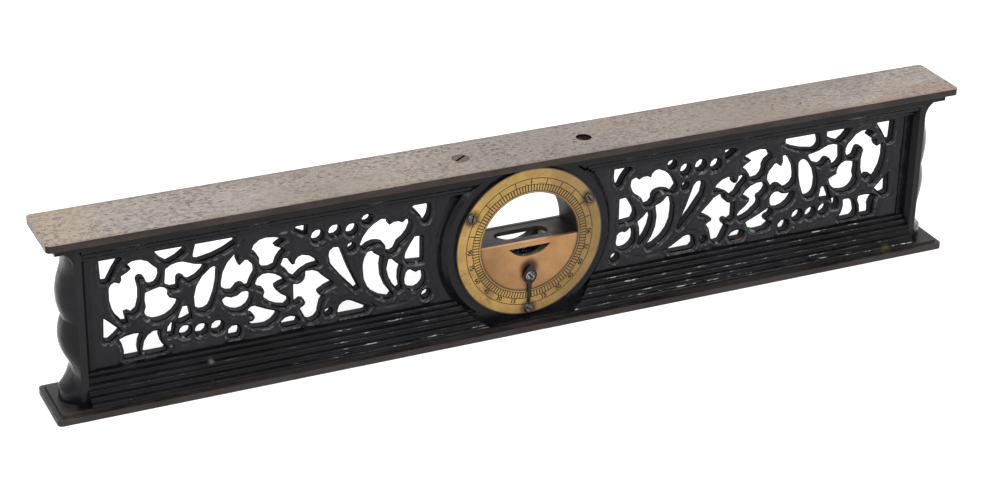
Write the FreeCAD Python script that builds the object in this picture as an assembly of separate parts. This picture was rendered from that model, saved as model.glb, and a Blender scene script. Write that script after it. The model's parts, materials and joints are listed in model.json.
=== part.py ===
# Cast iron inclinometer with a pierced scroll web and a turning drum read against a brass dial.
# Millimetres. X runs along the rails, -Y is the dial side, +Z is up.
# The origin is the middle of the bottom rail's machined foot.
import FreeCAD, Part
import math
import os

Vec = FreeCAD.Vector

# Rails
length = 457.2
rail_width = 34.0
height = 87.5
foot_plate = 3.0
foot_tier = 1.2
foot_tier_inset = 2.5
cap_plate = 3.4
cap_block = 4.0
cap_block_inset = 4.3
rail_corner_radius = 2.2

# Web and the frame round it
web_thickness = 3.4
border_step = 2.8
border_width = 4.7
border_top_drop = 8.6
pattern_end_margin = 4.8
pattern_dial_margin = 2.3
pattern_foot_margin = 14.5
pattern_top_margin = 2.5

# End walls with their lobed columns
end_setback = 13.3
end_wall = 3.0
end_wall_width = 20.0
end_cove_radius = 9.0
column_sink = 1.3
column_foot_inset = 0.6
column_sag = 0.2

# Dial rings, which fill the height between the rails, and their screws
ring_to_face = 6.45
ring_outer_radius = height / 2 - ring_to_face
ring_opening_share = 0.67
ring_inner_radius = ring_opening_share * ring_outer_radius
ring_thickness = 1.6
ring_screw_inset = 2.8
ring_screw_circle = ring_outer_radius - ring_screw_inset
ring_screw_angles = (270.0, 30.0, 150.0)
ring_slot_angles = (35.0, 60.0, -75.0)
plate_slot_angle = 50.0
ring_screw_shank = 1.4
ring_screw_length = 5.0
ring_screw_head = 2.3
ring_screw_head_height = 1.2
screw_slot_width = 0.7
screw_slot_depth = 0.6
screw_clearance = 0.05

# Small rounds are drawn with flats, to keep the model light
shank_sides = 12
head_sides = 18
round_sides = 20
head_bevel = 0.65

# Dial boss and bore
bore_margin = 1.4
bore_radius = ring_inner_radius + bore_margin
boss_depth = 17.2
boss_rim = 6.2
boss_radius = ring_outer_radius + boss_rim
boss_edge_bevel = 2.0
spot_face_gap = 0.5
spot_face_radius = boss_radius + spot_face_gap
spot_face_margin = 1.2

# Drum that turns in the bore
drum_running_clearance = 0.08
drum_end_clearance = 0.12
hoop_wall = 1.3
drum_roof = 2.2
chamber_end_wall = 7.0
chamber_length = 2 * (ring_inner_radius - chamber_end_wall)
chamber_width = 12.0
chamber_drop = 11.0
slot_end_margin = 4.5
slot_length = chamber_length - 2 * slot_end_margin
slot_width = 8.5
plate_thickness = 1.6
plate_clearance = 0.2
plate_lip = 0.25
window_half_width = 10.7
window_height = 5.2
window_drop = 2.35
window_relief = 0.3

# Pointer and the screws on the drum's plates
pointer_screw_share = 0.68
pointer_screw_drop = pointer_screw_share * ring_inner_radius
pointer_head_radius = 3.6
pointer_thickness = 1.1
pointer_ring_gap = 0.25
pointer_tip_gap = 0.6
pointer_reach = ring_screw_circle - ring_screw_head - pointer_tip_gap
pointer_tip_width = 0.5
pointer_screw_shank = 1.4
pointer_screw_head = 2.3
pointer_screw_length = 7.0
pointer_screw_end_gap = 0.5

# Level vial in its plaster
vial_radius = 3.6
vial_end_gap = 2.5
vial_length = chamber_length - 2 * vial_end_gap
vial_wall = 0.6
vial_roof_gap = 0.3
plaster_length = 6.0

# Holes in the top rail, one with its plug screw and one open
cap_hole_spacing = 62.6
cap_hole_radius = 3.75
cap_hole_depth = 9.0
plug_length = 6.5
plug_slot_width = 1.1
plug_slot_depth = 1.0
plug_slot_angle = 35.0

# Places that follow from the sizes above
half_length = length / 2
half_width = rail_width / 2
centre_height = height / 2
wall_outside = half_length - end_setback
wall_inside = wall_outside - end_wall
half_wall = end_wall_width / 2
half_web = web_thickness / 2
half_boss = boss_depth / 2
foot_top = foot_plate + foot_tier
cap_bottom = height - cap_plate
block_bottom = cap_bottom - cap_block
ring_face = half_boss + ring_thickness
drum_half = half_boss - drum_end_clearance
drum_radius = bore_radius - drum_running_clearance
hoop_inside = drum_radius - hoop_wall
plate_radius = ring_inner_radius - plate_clearance
plate_face = drum_half + plate_thickness
pointer_back = ring_face + pointer_ring_gap
pointer_face = pointer_back + pointer_thickness
pointer_screw_height = centre_height - pointer_screw_drop
chamber_roof = centre_height - drum_roof
chamber_floor = chamber_roof - chamber_drop

# The scroll pattern as drawn for one panel, outer end at the left and dial at the right
pattern_width = 157.0
pattern_height = 50.4
pattern_sag = 0.2
panel_outside = wall_inside - border_width - pattern_end_margin
panel_inside = boss_radius + pattern_dial_margin
panel_bottom = foot_top + pattern_foot_margin
panel_top = block_bottom - border_top_drop - pattern_top_margin

# Each opening is a closed outline of joints and, between them, the middle of each arc.
# None between two joints is a straight edge.
corner_gap = [(0.2, 50.3), None, (10.0, 50.3), (6.3, 45.0), (3.4, 39.6), None, (0.6, 39.8), None]
border_gap = [(25.3, 50.3), None, (38.6, 50.3), None, (38.6, 48.0), (35.0, 45.4), (31.0, 43.8),
              (27.8, 46.2)]
border_leaf = [(43.8, 50.3), None, (62.0, 50.3), None, (62.0, 47.6), (54.5, 44.0), (46.5, 42.2),
               (43.2, 42.9), (42.6, 45.8), None]
great_scroll = [(11.8, 46.0), (18.5, 47.5), (24.2, 43.4), (27.0, 39.3), (26.2, 35.4),
                (24.4, 33.9), (21.6, 34.4), None, (20.6, 36.9), (19.0, 39.0), (16.7, 37.0),
                (17.6, 30.5), (16.2, 23.2), None, (14.2, 21.6), (12.2, 22.8), (10.5, 22.4), None,
                (11.2, 18.2), None, (9.6, 18.3), (4.6, 27.0), (4.0, 35.0), (4.9, 37.8),
                (6.6, 38.7), None, (8.9, 37.6), (9.8, 39.0), (9.8, 41.2), (12.2, 42.3),
                (14.4, 44.0), (13.4, 45.2)]
scroll_heart = [(20.2, 31.0), (23.5, 31.9), (26.8, 32.6), (29.6, 31.2), (31.2, 28.2), None,
                (31.0, 26.4), (33.2, 25.5), (35.6, 24.4), (31.5, 18.0), (26.0, 16.2),
                (21.6, 17.4), (19.4, 21.6), None, (20.2, 24.2), None, (19.8, 27.5), None]
hooked_leaf = [(29.8, 40.8), (33.2, 42.6), (37.6, 42.9), (42.5, 40.8), (48.6, 39.6),
               (45.2, 35.0), (40.6, 32.8), (39.2, 33.6), (38.4, 34.9), (36.6, 35.8),
               (35.0, 34.2), None, (34.9, 30.8), (31.6, 31.0), (29.1, 34.0), None]
long_drop = [(50.2, 37.3), (52.6, 37.6), (53.6, 35.0), (52.6, 26.5), (50.2, 19.4),
             (46.0, 16.6), (42.6, 19.8), (43.0, 28.0)]
side_gap = [(0.9, 22.0), None, (8.2, 14.8), (5.2, 12.0), (3.0, 10.4), None, (0.4, 11.2), None]
berry_gap = [(36.8, 20.9), None, (39.6, 20.7), None, (40.6, 14.8), (37.5, 13.6), (33.6, 13.4),
             (35.4, 17.6)]
hourglass = [(6.8, 10.2), (11.5, 11.7), (17.2, 11.7), None, (17.4, 9.8), (15.9, 5.6),
             (16.2, 0.6), None, (9.0, 0.6), (9.2, 4.4), (8.4, 8.2), None]
sail_gap = [(22.8, 11.4), None, (26.0, 11.4), (25.9, 6.4), (28.6, 1.6), None, (27.6, 0.6), None,
            (19.4, 0.6), (17.9, 2.0), (18.0, 4.6), (19.6, 9.0)]
sliver = [(31.0, 14.0), None, (33.0, 13.4), (32.3, 10.2), (31.9, 7.8), None, (29.8, 7.8),
          (29.4, 11.4)]
foot_gap = [(57.4, 3.0), (59.9, 6.6), (63.0, 2.8), None, (62.4, 0.9), None, (58.4, 0.9), None]
forked_leaf = [(61.4, 41.8), None, (63.0, 41.6), (62.7, 38.4), (63.6, 35.9), None, (65.2, 37.2),
               (66.6, 38.2), (68.4, 36.8), (70.6, 34.0), (71.0, 30.4), (69.2, 27.4),
               (68.0, 24.4), None, (66.8, 24.6), (64.2, 26.4), (61.6, 24.6), None, (60.4, 23.4),
               (56.4, 24.8), (55.0, 29.6), (57.0, 36.6)]
half_moon = [(55.2, 20.6), None, (56.8, 21.6), (60.2, 20.7), (64.4, 22.6), (66.6, 22.6),
             (68.8, 19.8), (67.6, 15.4), (62.6, 13.2), (57.6, 15.6)]
thistle = [(69.4, 42.0), (72.0, 46.0), (76.4, 47.3), (80.8, 46.7), (85.2, 44.8), (82.8, 43.6),
           (80.6, 42.2), (82.9, 41.0), (85.4, 39.4), (82.4, 36.6), (80.6, 32.4), (78.0, 31.6),
           (75.4, 32.0), (73.3, 34.6), (73.2, 37.8), (71.8, 40.4)]
tip_gap = [(89.4, 49.5), None, (91.0, 50.2), None, (95.8, 50.2), None, (95.4, 45.8),
           (92.4, 47.4)]
swallow = [(84.4, 35.6), None, (87.2, 35.0), (87.6, 33.0), (88.4, 31.6), None, (89.9, 31.6),
           (90.6, 34.2), (93.2, 35.5), (97.8, 33.8), (101.0, 29.6), (96.4, 28.9), (92.6, 27.0),
           None, (90.0, 24.6), (87.8, 26.0), (86.4, 28.6), (84.8, 30.2), (83.0, 32.4), None]
whale = [(70.9, 25.6), (73.0, 28.9), (77.0, 29.5), (81.6, 27.6), (85.0, 23.6), (82.6, 23.0),
         (80.4, 21.8), None, (80.6, 20.2), (82.6, 18.0), (85.4, 16.0), (86.8, 13.6),
         (85.0, 11.2), (80.2, 12.6), (76.0, 15.8), (74.6, 18.0), (75.2, 20.4), None,
         (74.8, 21.8), (72.4, 23.0)]
lipped_leaf = [(66.9, 12.2), (68.0, 14.0), (70.0, 14.4), (75.6, 11.6), (81.6, 9.2),
               (79.2, 5.0), (73.0, 3.4), (70.0, 3.7), (67.6, 5.4), None, (67.7, 6.8),
               (69.8, 7.4), (70.4, 8.8), (69.6, 10.0), (67.8, 10.6), None]
low_lens = [(82.6, 3.8), (86.6, 5.8), (91.0, 3.4), None, (90.2, 1.2), None, (83.6, 1.2), None]
dragon = [(94.8, 27.0), (98.4, 26.8), (102.6, 23.4), None, (108.2, 18.2), (104.6, 17.0),
          (101.0, 14.8), None, (101.2, 13.6), None, (104.0, 12.4), (102.2, 9.6), (101.2, 5.8),
          (98.8, 1.6), (95.2, 1.8), (93.4, 5.4), (91.8, 8.8), None, (94.0, 10.0), (94.4, 12.0),
          (92.6, 13.0), None, (90.6, 11.8), None, (88.9, 12.8), None, (88.9, 21.6),
          (93.0, 21.9), (94.8, 25.0), None]
falling_leaf = [(106.1, 33.0), (108.4, 36.4), (112.0, 34.6), (115.6, 24.4), (120.4, 13.6), None,
                (119.2, 12.8), (112.4, 20.8), (106.9, 28.6), None]
low_sail = [(110.1, 4.2), (112.6, 7.9), (116.6, 7.7), None, (125.0, 2.6), None, (123.6, 0.8),
            None, (111.4, 0.8), (110.2, 2.0)]
crested_wave = [(121.2, 35.4), (125.0, 42.0), (131.6, 46.3), (134.4, 45.4), (135.6, 42.6),
                (138.6, 43.8), (142.0, 42.6), None, (143.8, 44.1), None, (146.0, 43.2), None,
                (146.4, 40.2), (144.0, 35.6), (140.2, 32.6), None, (138.6, 29.2),
                (136.2, 28.4), (133.8, 30.4), (133.4, 33.2), (131.0, 34.8), (127.0, 34.9),
                (123.2, 32.8), None]
inner_crescent = [(124.8, 30.8), None, (126.8, 31.2), (129.2, 28.6), (132.4, 27.4),
                  (131.9, 17.0), (137.0, 6.8), None, (135.8, 5.2), (126.4, 10.8),
                  (122.7, 22.0), (123.0, 27.0)]
thorn = [(135.2, 25.2), None, (136.8, 25.0), (139.0, 22.6), (141.8, 20.6), (140.5, 15.0),
         (141.2, 9.4), None, (140.0, 8.6), (135.8, 14.6), (134.2, 20.8), None]
dial_corner = [(146.6, 49.4), None, (147.6, 50.2), None, (155.4, 50.2), None, (155.6, 46.6),
               (155.0, 43.4), (153.6, 41.2), None, (152.4, 41.6), (150.0, 46.2)]
dial_gap = [(148.2, 34.4), None, (152.0, 34.2), None, (152.0, 21.4), None, (144.4, 22.0), None,
            (143.2, 24.6), None, (143.6, 27.0), (145.6, 30.6)]
notched_round = [(143.8, 16.8), (145.2, 18.0), (147.0, 17.0), None, (148.6, 16.0),
                 (151.0, 16.6), (152.8, 13.6), (152.4, 9.4), (149.0, 7.2), (144.6, 9.0),
                 (143.1, 13.6), None]
high_lens = [(122.2, 48.2), (124.4, 50.0), (127.0, 48.4), (126.6, 46.6), (124.8, 45.8),
             (122.8, 46.6)]
openings = [corner_gap, border_gap, border_leaf, great_scroll, scroll_heart, hooked_leaf,
            long_drop, side_gap, berry_gap, hourglass, sail_gap, sliver, foot_gap, forked_leaf,
            half_moon, thistle, tip_gap, swallow, whale, lipped_leaf, low_lens, dragon,
            falling_leaf, low_sail, crested_wave, inner_crescent, thorn, dial_corner, dial_gap,
            notched_round, high_lens]

# Round piercings of the same pattern: across, up, radius
berries = [(37.5, 8.5, 2.8), (44.9, 7.8, 2.9), (52.5, 7.8, 2.9),
           (100.7, 43.8, 2.9), (109.0, 44.8, 2.9), (117.2, 44.0, 2.8), (116.9, 35.4, 1.9),
           (105.3, 4.4, 1.8), (153.6, 3.9, 2.2)]

# Half section of the foot moulding above the foot tier: out from the web, up from the foot
foot_moulding = [(13.2, 0.0), (13.2, 1.6), (12.2, 2.2), (11.3, 2.6), (11.3, 4.2), (9.4, 5.0),
                 (9.4, 6.6), (7.9, 7.4), (7.9, 8.4), (5.8, 9.4), (5.8, 10.8), (3.8, 11.8),
                 (3.8, 12.8), (1.0, 13.6)]

# Half section of the moulding under the cap: out from the web, down from the cap block
cap_moulding = [(10.0, 0.0), (10.0, 1.4), (7.6, 3.4), (7.6, 4.6), (5.4, 6.0), (5.4, 7.2),
                (3.6, 8.0), (1.0, 8.6)]

# Half section of an end column: out from its axis, up as a share of the way from the foot
# plate to the cap block. Joints alternate with arc middles.
column_section = [(9.0, 0.091), (5.6, 0.140), (2.9, 0.197), (3.7, 0.236), (5.4, 0.285),
                  (8.0, 0.425), (5.8, 0.540), (7.9, 0.667), (5.5, 0.820), (4.4, 0.872),
                  (4.4, 0.911), (5.6, 0.965)]


def box(x0, x1, y0, y1, z0, z1):
    return Part.makeBox(x1 - x0, y1 - y0, z1 - z0, Vec(x0, y0, z0))


def rod_y(x, z, radius, y0, y1):
    return Part.makeCylinder(radius, y1 - y0, Vec(x, y0, z), Vec(0, 1, 0))


def flat_rod(start, axis, radius, rod_length, sides):
    """Rod with flats, standing for a small round one; its corners lie on the radius."""
    turns = [math.tau * step / sides for step in range(sides)]
    outline = [Vec(radius * math.cos(turn), radius * math.sin(turn), 0) for turn in turns]
    rod = polygon_face(outline).extrude(Vec(0, 0, rod_length))
    rod.Placement = FreeCAD.Placement(start, FreeCAD.Rotation(Vec(0, 0, 1), axis))
    return rod


def small_rod(x, z, radius, y0, y1):
    return flat_rod(Vec(x, y0, z), Vec(0, 1, 0), radius, y1 - y0, shank_sides)


def vial_rod(radius, rod_length):
    """Rod along X at the place of the vial in the chamber."""
    start = Vec(-rod_length / 2, 0, chamber_roof - vial_roof_gap - vial_radius)
    return flat_rod(start, Vec(1, 0, 0), radius, rod_length, round_sides)


def closed_outline(points, place, sag=None):
    """Wire through joints and arc middles; place turns a drawn pair into a point.

    With sag, each arc becomes chords that leave it by at most that much."""
    edges = []
    for index in range(0, len(points), 2):
        start = place(*points[index])
        end = place(*points[(index + 2) % len(points)])
        middle = points[index + 1]
        if middle is None:
            edges.append(Part.LineSegment(start, end).toShape())
            continue
        arc = Part.Arc(start, place(*middle), end).toShape()
        if sag is None:
            edges.append(arc)
            continue
        radius = arc.Curve.Radius
        chord_turn = 2 * math.acos(1 - min(sag / radius, 1))
        chords = max(2, math.ceil(arc.Length / radius / chord_turn))
        corners = arc.discretize(chords + 1)
        edges += Part.makePolygon([start] + corners[1:-1] + [end]).Edges
    return Part.Wire(edges)


def polygon_face(points):
    return Part.Face(Part.makePolygon(points + points[:1]))


def rounded_plate(x, y, z0, z1, radius):
    """Plate of half length x and half width y with rounded corners in plan."""
    plate = box(-x, x, -y, y, z0, z1)
    upright = [edge for edge in plate.Edges if abs(edge.Vertexes[0].Z - edge.Vertexes[1].Z) > 0.1]
    return plate.makeFillet(radius, upright)


def moulding(section, level, direction):
    """Run of a mirrored half section between the end walls."""
    front = [Vec(-wall_inside, -out, level + direction * up) for out, up in section]
    back = [Vec(-wall_inside, out, level + direction * up) for out, up in reversed(section)]
    return polygon_face(front + back).extrude(Vec(2 * wall_inside, 0, 0))


def panel_place(side):
    """Place of a drawn pair on the panel at the given side, -1 for the left one."""
    across = (panel_outside - panel_inside) / pattern_width
    upward = (panel_top - panel_bottom) / pattern_height

    def place(u, v):
        return Vec(side * (panel_outside - u * across), -half_web, panel_bottom + v * upward)
    return place


def pierced_web():
    """Flat web with the scroll pattern cut through it on both sides of the dial."""
    left, right = -wall_inside - end_wall / 2, wall_inside + end_wall / 2
    low, high = foot_plate, cap_bottom
    corners = [Vec(left, -half_web, low), Vec(right, -half_web, low),
               Vec(right, -half_web, high), Vec(left, -half_web, high)]
    holes = []
    for side in (-1, 1):
        place = panel_place(side)
        for outline in openings:
            holes.append(closed_outline(outline, place, pattern_sag))
        for u, v, radius in berries:
            ring = [(u - radius, v), (u, v + radius), (u + radius, v), (u, v - radius)]
            holes.append(closed_outline(ring, place, pattern_sag))
    face = Part.Face([Part.makePolygon(corners + corners[:1])] + holes)
    face.validate()
    return face.extrude(Vec(0, web_thickness, 0))


def end_column(side):
    """Lobed half column on the outside of an end wall, turned about an upright axis."""
    foot_radius = half_wall - column_foot_inset
    rise = block_bottom - foot_plate

    def place(radius, share):
        return Vec(radius, 0, foot_plate + share * rise)

    section = [(foot_radius, 0), None] + column_section
    section += [(foot_radius, 1), None, (foot_radius, 1 + cap_block / rise), None]
    profile = closed_outline(section, place, column_sag)
    levels = [(vertex.X, vertex.Z) for vertex in profile.OrderedVertexes]
    axis_x = side * (wall_outside - column_sink)
    half_sides = round_sides // 2
    turns = [math.pi * (step / half_sides - 0.5) for step in range(half_sides + 1)]
    rings = [[Vec(axis_x + side * radius * math.cos(turn), radius * math.sin(turn), z)
              for turn in turns] for radius, z in levels]
    faces = [polygon_face(rings[0]), polygon_face(rings[-1]),
             polygon_face([ring[0] for ring in rings] + [ring[-1] for ring in reversed(rings)])]
    for low, high in zip(rings, rings[1:]):
        for step in range(half_sides):
            faces.append(polygon_face([low[step], low[step + 1], high[step + 1], high[step]]))
    return Part.makeSolid(Part.makeShell(faces))


def end_wall_block(side):
    """End wall with the cove that carries the cap's overhang."""
    spring = block_bottom - end_cove_radius
    reach = wall_outside + end_cove_radius
    bend = end_cove_radius * (1 - math.cos(math.pi / 4))
    section = [(wall_inside, foot_plate), None, (wall_outside, foot_plate), None,
               (wall_outside, spring), (wall_outside + bend, block_bottom - bend),
               (reach, block_bottom), None, (reach, cap_bottom), None,
               (wall_inside, cap_bottom), None]
    wire = closed_outline(section, lambda x, z: Vec(side * x, -half_wall, z))
    wall = Part.Face(wire).extrude(Vec(0, end_wall_width, 0))
    edge = sorted((side * (wall_inside - border_width), side * wall_inside))
    step = box(edge[0], edge[1], -half_web - border_step, half_web + border_step,
               foot_plate, cap_bottom)
    return [wall, step, end_column(side)]


def dial_boss():
    """Round boss that fills the height between the rails, its front and back edges softened."""
    disc = rod_y(0, centre_height, boss_radius, -half_boss, half_boss)
    rim = [edge for edge in disc.Edges if abs(abs(edge.CenterOfMass.y) - half_boss) < 1e-6]
    disc = disc.makeChamfer(boss_edge_bevel, rim)
    return disc.common(box(-boss_radius, boss_radius, -half_boss, half_boss,
                           foot_plate, cap_bottom))


def ring_screw_places():
    for angle in ring_screw_angles:
        turn = math.radians(angle)
        yield (ring_screw_circle * math.cos(turn),
               centre_height + ring_screw_circle * math.sin(turn))


def frame_casting():
    foot = rounded_plate(half_length, half_width, 0, foot_plate, rail_corner_radius)
    tier_x, tier_y = half_length - foot_tier_inset, half_width - foot_tier_inset
    tier = box(-tier_x, tier_x, -tier_y, tier_y, foot_plate, foot_top)
    cap = rounded_plate(half_length, half_width, cap_bottom, height, rail_corner_radius)
    block_x, block_y = half_length - cap_block_inset, half_width - cap_block_inset
    block = box(-block_x, block_x, -block_y, block_y, block_bottom, cap_bottom)
    pieces = [tier, cap, block, pierced_web(), dial_boss(),
              moulding(foot_moulding, foot_top, 1), moulding(cap_moulding, block_bottom, -1)]
    for side in (-1, 1):
        pieces += end_wall_block(side)
    body = foot.multiFuse(pieces)
    cuts = [rod_y(0, centre_height, bore_radius, -half_width, half_width)]
    reach = box(-spot_face_radius, spot_face_radius, -half_width, half_width,
                foot_top + spot_face_margin, block_bottom + cap_block - spot_face_margin)
    for y0, y1 in ((-half_width, -half_boss), (half_boss, half_width)):
        disc = rod_y(0, centre_height, spot_face_radius, y0, y1)
        cuts.append(disc.common(reach))
    hole = ring_screw_shank + screw_clearance
    depth = ring_screw_length + 1.0
    for x, z in ring_screw_places():
        cuts.append(small_rod(x, z, hole, -half_boss, -half_boss + depth))
        cuts.append(small_rod(x, z, hole, half_boss - depth, half_boss))
    for side in (-1, 1):
        cuts.append(Part.makeCylinder(cap_hole_radius, cap_hole_depth,
                                      Vec(side * cap_hole_spacing / 2, 0, height - cap_hole_depth)))
    return body.cut(cuts).removeSplitter()


def facing(shape, side):
    """Shape drawn on the dial side, turned to the rear when side is 1."""
    if side == 1:
        turned = shape.copy()
        turned.rotate(Vec(0, 0, centre_height), Vec(0, 0, 1), 180)
        return turned
    return shape


def dial_ring(side):
    ring = rod_y(0, centre_height, ring_outer_radius, -ring_face, -half_boss)
    ring = ring.cut(rod_y(0, centre_height, ring_inner_radius, -ring_face, -half_boss))
    hole = ring_screw_shank + screw_clearance
    holes = [small_rod(x, z, hole, -ring_face, -half_boss) for x, z in ring_screw_places()]
    return facing(ring.cut(holes), side)


def round_head_screw(x, z, seat, shank, length_in, head, head_height, slot_angle):
    """Slotted round head screw driven along +Y, its head's seat at y = -seat."""
    top = -seat - head_height
    blank = flat_rod(Vec(x, top, z), Vec(0, 1, 0), head, head_height, head_sides)
    rim = [edge for edge in blank.Edges if abs(edge.CenterOfMass.y - top) < 1e-6]
    dome = blank.makeChamfer(head_bevel, rim)
    screw = dome.fuse(small_rod(x, z, shank, -seat, -seat + length_in))
    slot = box(x - head, x + head, top, top + screw_slot_depth,
               z - screw_slot_width / 2, z + screw_slot_width / 2)
    slot.rotate(Vec(x, 0, z), Vec(0, 1, 0), slot_angle)
    return screw.cut(slot)


def ring_screws(side):
    screws = []
    for (x, z), slot_angle in zip(ring_screw_places(), ring_slot_angles):
        screw = round_head_screw(x, z, ring_face, ring_screw_shank, ring_screw_length,
                                 ring_screw_head, ring_screw_head_height, slot_angle)
        screws.append(facing(screw, side))
    return Part.makeCompound(screws)


def window_section(y0, y1, grow):
    """Segment window below the drum's roof: straight top edge and an arc below."""
    top = centre_height - window_drop + grow
    wide = window_half_width + grow
    section = [(-wide, top), None, (wide, top), (0, top - window_height - 2 * grow)]
    wire = closed_outline(section, lambda x, z: Vec(x, y0, z))
    return Part.Face(wire).extrude(Vec(0, y1 - y0, 0))


def obround(y_half, x_half, z0, z1):
    """Upright slot with round ends, along X."""
    straight = x_half - y_half
    section = [(-straight, -y_half), None, (straight, -y_half), (x_half, 0),
               (straight, y_half), None, (-straight, y_half), (-x_half, 0)]
    wire = closed_outline(section, lambda x, y: Vec(x, y, z0))
    return Part.Face(wire).extrude(Vec(0, 0, z1 - z0))


def half_disc(radius, y0, y1, top):
    disc = rod_y(0, centre_height, radius, y0, y1)
    return disc.cut(box(-2 * radius, 2 * radius, y0, y1, top, centre_height + 2 * radius))


def drum():
    """Hoop that turns in the bore, its lower half filled and hollowed for the vial."""
    hoop = rod_y(0, centre_height, drum_radius, -drum_half, drum_half)
    hoop = hoop.cut(rod_y(0, centre_height, hoop_inside, -drum_half, drum_half))
    lower = half_disc(hoop_inside + hoop_wall / 2, -drum_half, drum_half, centre_height)
    body = hoop.fuse(lower)
    chamber = box(-chamber_length / 2, chamber_length / 2, -chamber_width / 2, chamber_width / 2,
                  chamber_floor, chamber_roof)
    slot = obround(slot_width / 2, slot_length / 2, chamber_roof, centre_height)
    windows = window_section(-drum_half, drum_half, window_relief)
    hole = pointer_screw_shank + screw_clearance
    depth = pointer_screw_length
    screw_holes = [small_rod(0, pointer_screw_height, hole, -drum_half, -drum_half + depth),
                   small_rod(0, pointer_screw_height, hole, drum_half - depth, drum_half)]
    return body.cut([chamber, slot, windows] + screw_holes).removeSplitter()


def drum_plate(side):
    top = centre_height + plate_lip
    plate = half_disc(plate_radius, -plate_face, -drum_half, top)
    hole = small_rod(0, pointer_screw_height, pointer_screw_shank + screw_clearance,
                     -plate_face, -drum_half)
    return facing(plate.cut([window_section(-plate_face, -drum_half, 0), hole]), side)


def pointer():
    """Pear shaped pointer: its head lies on the plate and its blade crosses the ring."""
    z = pointer_screw_height
    head = pointer_head_radius
    tip = centre_height - pointer_reach
    half_tip = pointer_tip_width / 2
    waist = z - head * 1.15
    blade = [(-head, z), (-head * 0.62, z + head * 0.86), (0, z + head * 1.5),
             (head * 0.62, z + head * 0.86), (head, z), (head * 0.66, z - head * 0.84),
             (head * 0.3, waist), None, (half_tip, tip), None, (-half_tip, tip), None,
             (-head * 0.3, waist), (-head * 0.66, z - head * 0.84)]
    wire = closed_outline(blade, lambda x, up: Vec(x, -pointer_face, up))
    body = Part.Face(wire).extrude(Vec(0, pointer_thickness, 0))
    pad = small_rod(0, z, head * 0.85, -pointer_back, -plate_face)
    hole = small_rod(0, z, pointer_screw_shank + screw_clearance, -pointer_face, -plate_face)
    return body.fuse(pad).cut(hole)


def vial():
    """Sealed hollow glass tube that lies under the slot, along X."""
    bore = vial_rod(vial_radius - vial_wall, vial_length - 4 * vial_wall)
    return vial_rod(vial_radius, vial_length).cut(bore)


def vial_plaster(side):
    """Plaster that fills one end of the chamber round the vial."""
    reach = chamber_length / 2
    ends = sorted((side * reach, side * (reach - plaster_length)))
    block = box(ends[0], ends[1], -chamber_width / 2, chamber_width / 2,
                chamber_floor, chamber_roof)
    return block.cut(vial_rod(vial_radius, vial_length))


def cap_plug():
    """Slotted plug screw, flush in the left hole of the cap."""
    x = -cap_hole_spacing / 2
    plug = flat_rod(Vec(x, 0, height - plug_length), Vec(0, 0, 1),
                    cap_hole_radius - screw_clearance, plug_length, round_sides)
    slot = box(x - cap_hole_radius, x + cap_hole_radius, -plug_slot_width / 2, plug_slot_width / 2,
               height - plug_slot_depth, height)
    slot.rotate(Vec(x, 0, 0), Vec(0, 0, 1), plug_slot_angle)
    return plug.cut(slot)


def plate_screw(side, seat):
    screw = round_head_screw(0, pointer_screw_height, seat, pointer_screw_shank,
                             seat - drum_half + pointer_screw_length - pointer_screw_end_gap,
                             pointer_screw_head, ring_screw_head_height, plate_slot_angle)
    return facing(screw, side)


nodes = {
    "frame_casting": frame_casting(),
    "front_dial_ring": dial_ring(-1),
    "rear_dial_ring": dial_ring(1),
    "front_ring_screws": ring_screws(-1),
    "rear_ring_screws": ring_screws(1),
    "drum": drum(),
    "front_drum_plate": drum_plate(-1),
    "rear_drum_plate": drum_plate(1),
    "pointer": pointer(),
    "pointer_screw": plate_screw(-1, pointer_face),
    "rear_plate_screw": plate_screw(1, plate_face),
    "level_vial": vial(),
    "left_vial_plaster": vial_plaster(-1),
    "right_vial_plaster": vial_plaster(1),
    "cap_plug_screw": cap_plug(),
}

os.makedirs("parts", exist_ok=True)
for name, shape in nodes.items():
    shape.exportStep(f"parts/{name}.step")
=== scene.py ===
"""Looks of a cast iron inclinometer: japanned scroll casting, engraved brass dial, turning drum."""

import json
import math
import random

import bmesh
import bpy
import numpy as np
from mathutils import Matrix, Vector
from mathutils.geometry import delaunay_2d_cdt


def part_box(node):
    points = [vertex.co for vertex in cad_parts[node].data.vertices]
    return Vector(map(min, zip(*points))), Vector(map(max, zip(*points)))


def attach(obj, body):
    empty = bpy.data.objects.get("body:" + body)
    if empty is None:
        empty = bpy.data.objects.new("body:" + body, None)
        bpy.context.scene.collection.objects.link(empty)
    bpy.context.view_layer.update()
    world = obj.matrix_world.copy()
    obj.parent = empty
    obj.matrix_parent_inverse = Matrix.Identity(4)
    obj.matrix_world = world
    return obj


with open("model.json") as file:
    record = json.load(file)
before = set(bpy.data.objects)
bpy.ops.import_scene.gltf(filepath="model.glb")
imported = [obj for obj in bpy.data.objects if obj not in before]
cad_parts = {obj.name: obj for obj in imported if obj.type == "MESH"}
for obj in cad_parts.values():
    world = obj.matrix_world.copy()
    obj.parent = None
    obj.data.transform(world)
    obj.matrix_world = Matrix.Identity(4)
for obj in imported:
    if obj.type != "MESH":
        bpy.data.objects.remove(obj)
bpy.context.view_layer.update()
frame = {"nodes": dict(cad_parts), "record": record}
nodes = frame["nodes"]
bpy.context.scene.view_settings.view_transform = "Standard"

MM = 0.001
HANDS = ((-1, "left"), (1, "right"))
FACES = ((-1, "front"), (1, "rear"))

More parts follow.
